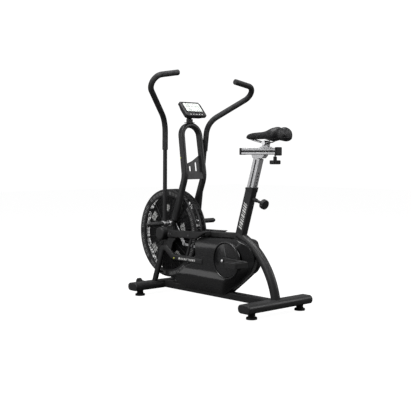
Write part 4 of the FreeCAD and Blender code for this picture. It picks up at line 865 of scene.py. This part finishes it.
def puffed(item, pressure, cap):
    """Blows a closed mesh up a little as cloth, and keeps every point within the cap."""
    remesh = item.modifiers.new("even_mesh", "REMESH")
    remesh.mode = "VOXEL"
    remesh.voxel_size = EVEN_MESH * MM
    bake(item)
    start = [v.co.copy() for v in item.data.vertices]
    cloth = item.modifiers.new("filling", "CLOTH")
    cloth.settings.use_pressure = True
    cloth.settings.uniform_pressure_force = pressure
    cloth.settings.effector_weights.gravity = 0.0
    cloth.settings.quality = 5
    for number in range(1, PUFF_FRAMES + 1):
        scene.frame_set(number)
    bake(item)
    scene.frame_set(1)
    for vertex, place in zip(item.data.vertices, start):
        step = vertex.co - place
        if step.length > cap * MM:
            vertex.co = place + step.normalized() * cap * MM
    smooth = item.modifiers.new("settle", "SMOOTH")
    smooth.iterations = 3
    bake(item)
    finer = item.modifiers.new("finer", "SUBSURF")
    finer.levels = finer.render_levels = 1
    bake(item)


def bake(item):
    """Applies an object's modifiers to its mesh."""
    bpy.context.view_layer.update()
    evaluated = item.evaluated_get(bpy.context.evaluated_depsgraph_get())
    mesh = bpy.data.meshes.new_from_object(evaluated)
    old = item.data
    item.modifiers.clear()
    item.data = mesh
    bpy.data.meshes.remove(old)


def on_surface(item, points, lift):
    """The nearest places on a mesh to some points, lifted off it a little."""
    made = []
    for point in points:
        _, place, normal, _ = item.closest_point_on_mesh(Vector(point) * MM)
        made.append((place + normal * lift * MM) / MM)
    return made


def saddle_piece():
    """The cushion, its piping and side seams, and two rows of stitches by each seam."""
    shape = bmesh.new()
    last = len(SADDLE) - 1
    rows = [saddle_section(last * k / SADDLE_ROWS) for k in range(SADDLE_ROWS + 1)]
    grid(shape, rows, closed=True, caps=True)
    bmesh.ops.recalc_face_normals(shape, faces=shape.faces)
    mesh = bpy.data.meshes.new("saddle_cushion")
    shape.to_mesh(mesh)
    shape.free()
    item = bpy.data.objects.new("saddle_cushion", mesh)
    scene.collection.objects.link(item)
    puffed(item, 3.0, 5.0)
    item.data.materials.clear()
    item.data.materials.append(MATERIALS["vinyl"])
    shade(item, 60.0)
    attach(item, "saddle")
    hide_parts("saddle")
    seams = bmesh.new()
    middle = SADDLE_STEPS // 2
    sections = [saddle_section(last * k / 60) for k in range(61)]
    edge = [row[-2] for row in sections] + [row[middle + 2] for row in sections[::-1]]
    wire(seams, on_surface(item, edge, 0.5), 1.5, (0, 0.2, 1), closed=True)
    for start in (SEAM, middle - SEAM):
        line = [row[start] for row in sections[4:57]]
        wire(seams, on_surface(item, line, 0.0), 0.9, (1, 0, 0))
    piece("saddle_piping", seams, "saddle", "vinyl", sharp_angle=60.0)
    stitches = bmesh.new()
    sections = [saddle_section(last * (0.08 + 0.86 * k / 120)) for k in range(121)]
    for start in (SEAM - 1, SEAM + 1, middle - SEAM + 1, middle - SEAM - 1):
        line = on_surface(item, [row[start] for row in sections], 0.15)
        for a, b in zip(line[::2], line[1::2]):
            wire(stitches, [a, b], 0.35, (1, 0, 0), 5)
    piece("saddle_stitches", stitches, "saddle", "vinyl", sharp_angle=60.0)


# ---------------------------------------------------------------- assembly of the pieces
# CAD nodes that get rounded edges, and how wide
EDGES = {
    "frame_plates": 1.6, "upper_stays": 3.0, "side_tubes": 2.0, "stabiliser_end_caps": 3.0,
    "seat_tube": 1.2, "upright_panel": 1.2, "crank_arms": 2.0, "pedal_left": 2.0, "pedal_right": 2.0,
    "seat_rail": 1.0, "rail_caps": 5.0, "seat_carriage": 1.2, "console_neck": 1.5, "seat_tube_collar": 2.5,
    "rail_knob": 1.5, "height_pin": 1.5, "crank_discs": 1.0, "lever_left": 1.2, "lever_right": 1.2,
    "hub_covers": 1.5, "top_tube": 1.0, "foot_pegs": 1.2,
}


def make_pieces():
    for name, width in EDGES.items():
        softened(name, width)
    for name, side in SIDES:
        guard_piece(name, side)
        badge_plates(name, side)
        shroud_piece(name, side)
    console_pieces()
    chain_piece()
    print_marks()
    seat_details()
    crank_screws()
    saddle_piece()


make_pieces()


# ---------------------------------------------------------------- stage, light and camera
FLOOR_GREY = ((0.095, 0.095, 0.095), (0.105, 0.105, 0.105))
FLOOR_GLOW = 0.97              # towards the camera only, so that the dark floor looks white
FLOOR_HALF = 14.0
SURROUND = 1.05                # of the white world, towards the camera only
FILL = 0.19                    # of the world on the object
# name, place, target, size, power in watts
LAMPS = (
    ("top_softbox", (0.3, 0.2, 3.6), (0, 0, 0.4), (3.0, 2.4), 250.0),
    ("key_light", (3.6, 0.6, 2.4), (0, 0, 0.6), (1.6, 2.2), 85.0),
    ("side_light", (2.7, -2.7, 1.0), (0, 0, 0.4), (2.4, 1.6), 20.0),
    ("back_light", (-2.8, 2.6, 2.2), (0, 0.1, 0.7), (1.6, 2.0), 60.0),
)
CAMERA_PLACE = Vector((3.155, 3.516, 0.866))
CAMERA_TARGET = Vector((0.0, -0.022, 0.579))
CAMERA_LENS = 70.05


def make_floor():
    mesh = bpy.data.meshes.new("studio_floor")
    shape = bmesh.new()
    bmesh.ops.create_grid(shape, x_segments=2, y_segments=2, size=FLOOR_HALF)
    shape.to_mesh(mesh)
    shape.free()
    floor = bpy.data.objects.new("studio_floor", mesh)
    scene.collection.objects.link(floor)
    paint = new_material("studio_floor_paint", (0.1, 0.1, 0.1), 0.8, specular=0.0)
    speckle = noise(paint, 3.0, 3.0)
    link(paint, colour_mix(paint, speckle, *FLOOR_GREY), "Base Color")
    shader = paint.node_tree.nodes["Principled BSDF"]
    shader.inputs["Emission Color"].default_value = (1.0, 1.0, 1.0, 1.0)
    path = add(paint, "ShaderNodeLightPath")
    glow = ramp(paint, path.outputs["Is Camera Ray"], 0.0, 1.0, 0.0, FLOOR_GLOW)
    link(paint, glow, "Emission Strength")
    mesh.materials.append(paint)


def area_light(name, place, target, size, power):
    lamp = bpy.data.lights.new(name, "AREA")
    lamp.shape = "RECTANGLE"
    lamp.size, lamp.size_y = size
    lamp.energy = power
    item = bpy.data.objects.new(name, lamp)
    item.location = place
    item.rotation_euler = (Vector(target) - Vector(place)).to_track_quat("-Z", "Y").to_euler()
    scene.collection.objects.link(item)


def make_light():
    """A white surround behind the object, softer fill on it, and four large soft lamps."""
    world = bpy.data.worlds.new("studio_world")
    world.use_nodes = True
    tree = world.node_tree
    output = tree.nodes["World Output"]
    fill = tree.nodes["Background"]
    fill.inputs["Color"].default_value = (1.0, 1.0, 1.0, 1.0)
    fill.inputs["Strength"].default_value = FILL
    seen = tree.nodes.new("ShaderNodeBackground")
    seen.inputs["Color"].default_value = (1.0, 1.0, 1.0, 1.0)
    seen.inputs["Strength"].default_value = SURROUND
    path = tree.nodes.new("ShaderNodeLightPath")
    mix = tree.nodes.new("ShaderNodeMixShader")
    tree.links.new(path.outputs["Is Camera Ray"], mix.inputs[0])
    tree.links.new(fill.outputs[0], mix.inputs[1])
    tree.links.new(seen.outputs[0], mix.inputs[2])
    tree.links.new(mix.outputs[0], output.inputs["Surface"])
    scene.world = world
    scene.view_settings.view_transform = "Standard"
    for lamp in LAMPS:
        area_light(*lamp)


def make_camera():
    data = bpy.data.cameras.new("camera")
    data.lens = CAMERA_LENS
    data.sensor_width = 36.0
    item = bpy.data.objects.new("camera", data)
    item.location = CAMERA_PLACE
    item.rotation_euler = (CAMERA_TARGET - CAMERA_PLACE).to_track_quat("-Z", "Y").to_euler()
    scene.collection.objects.link(item)
    scene.camera = item


make_floor()
make_light()
make_camera()
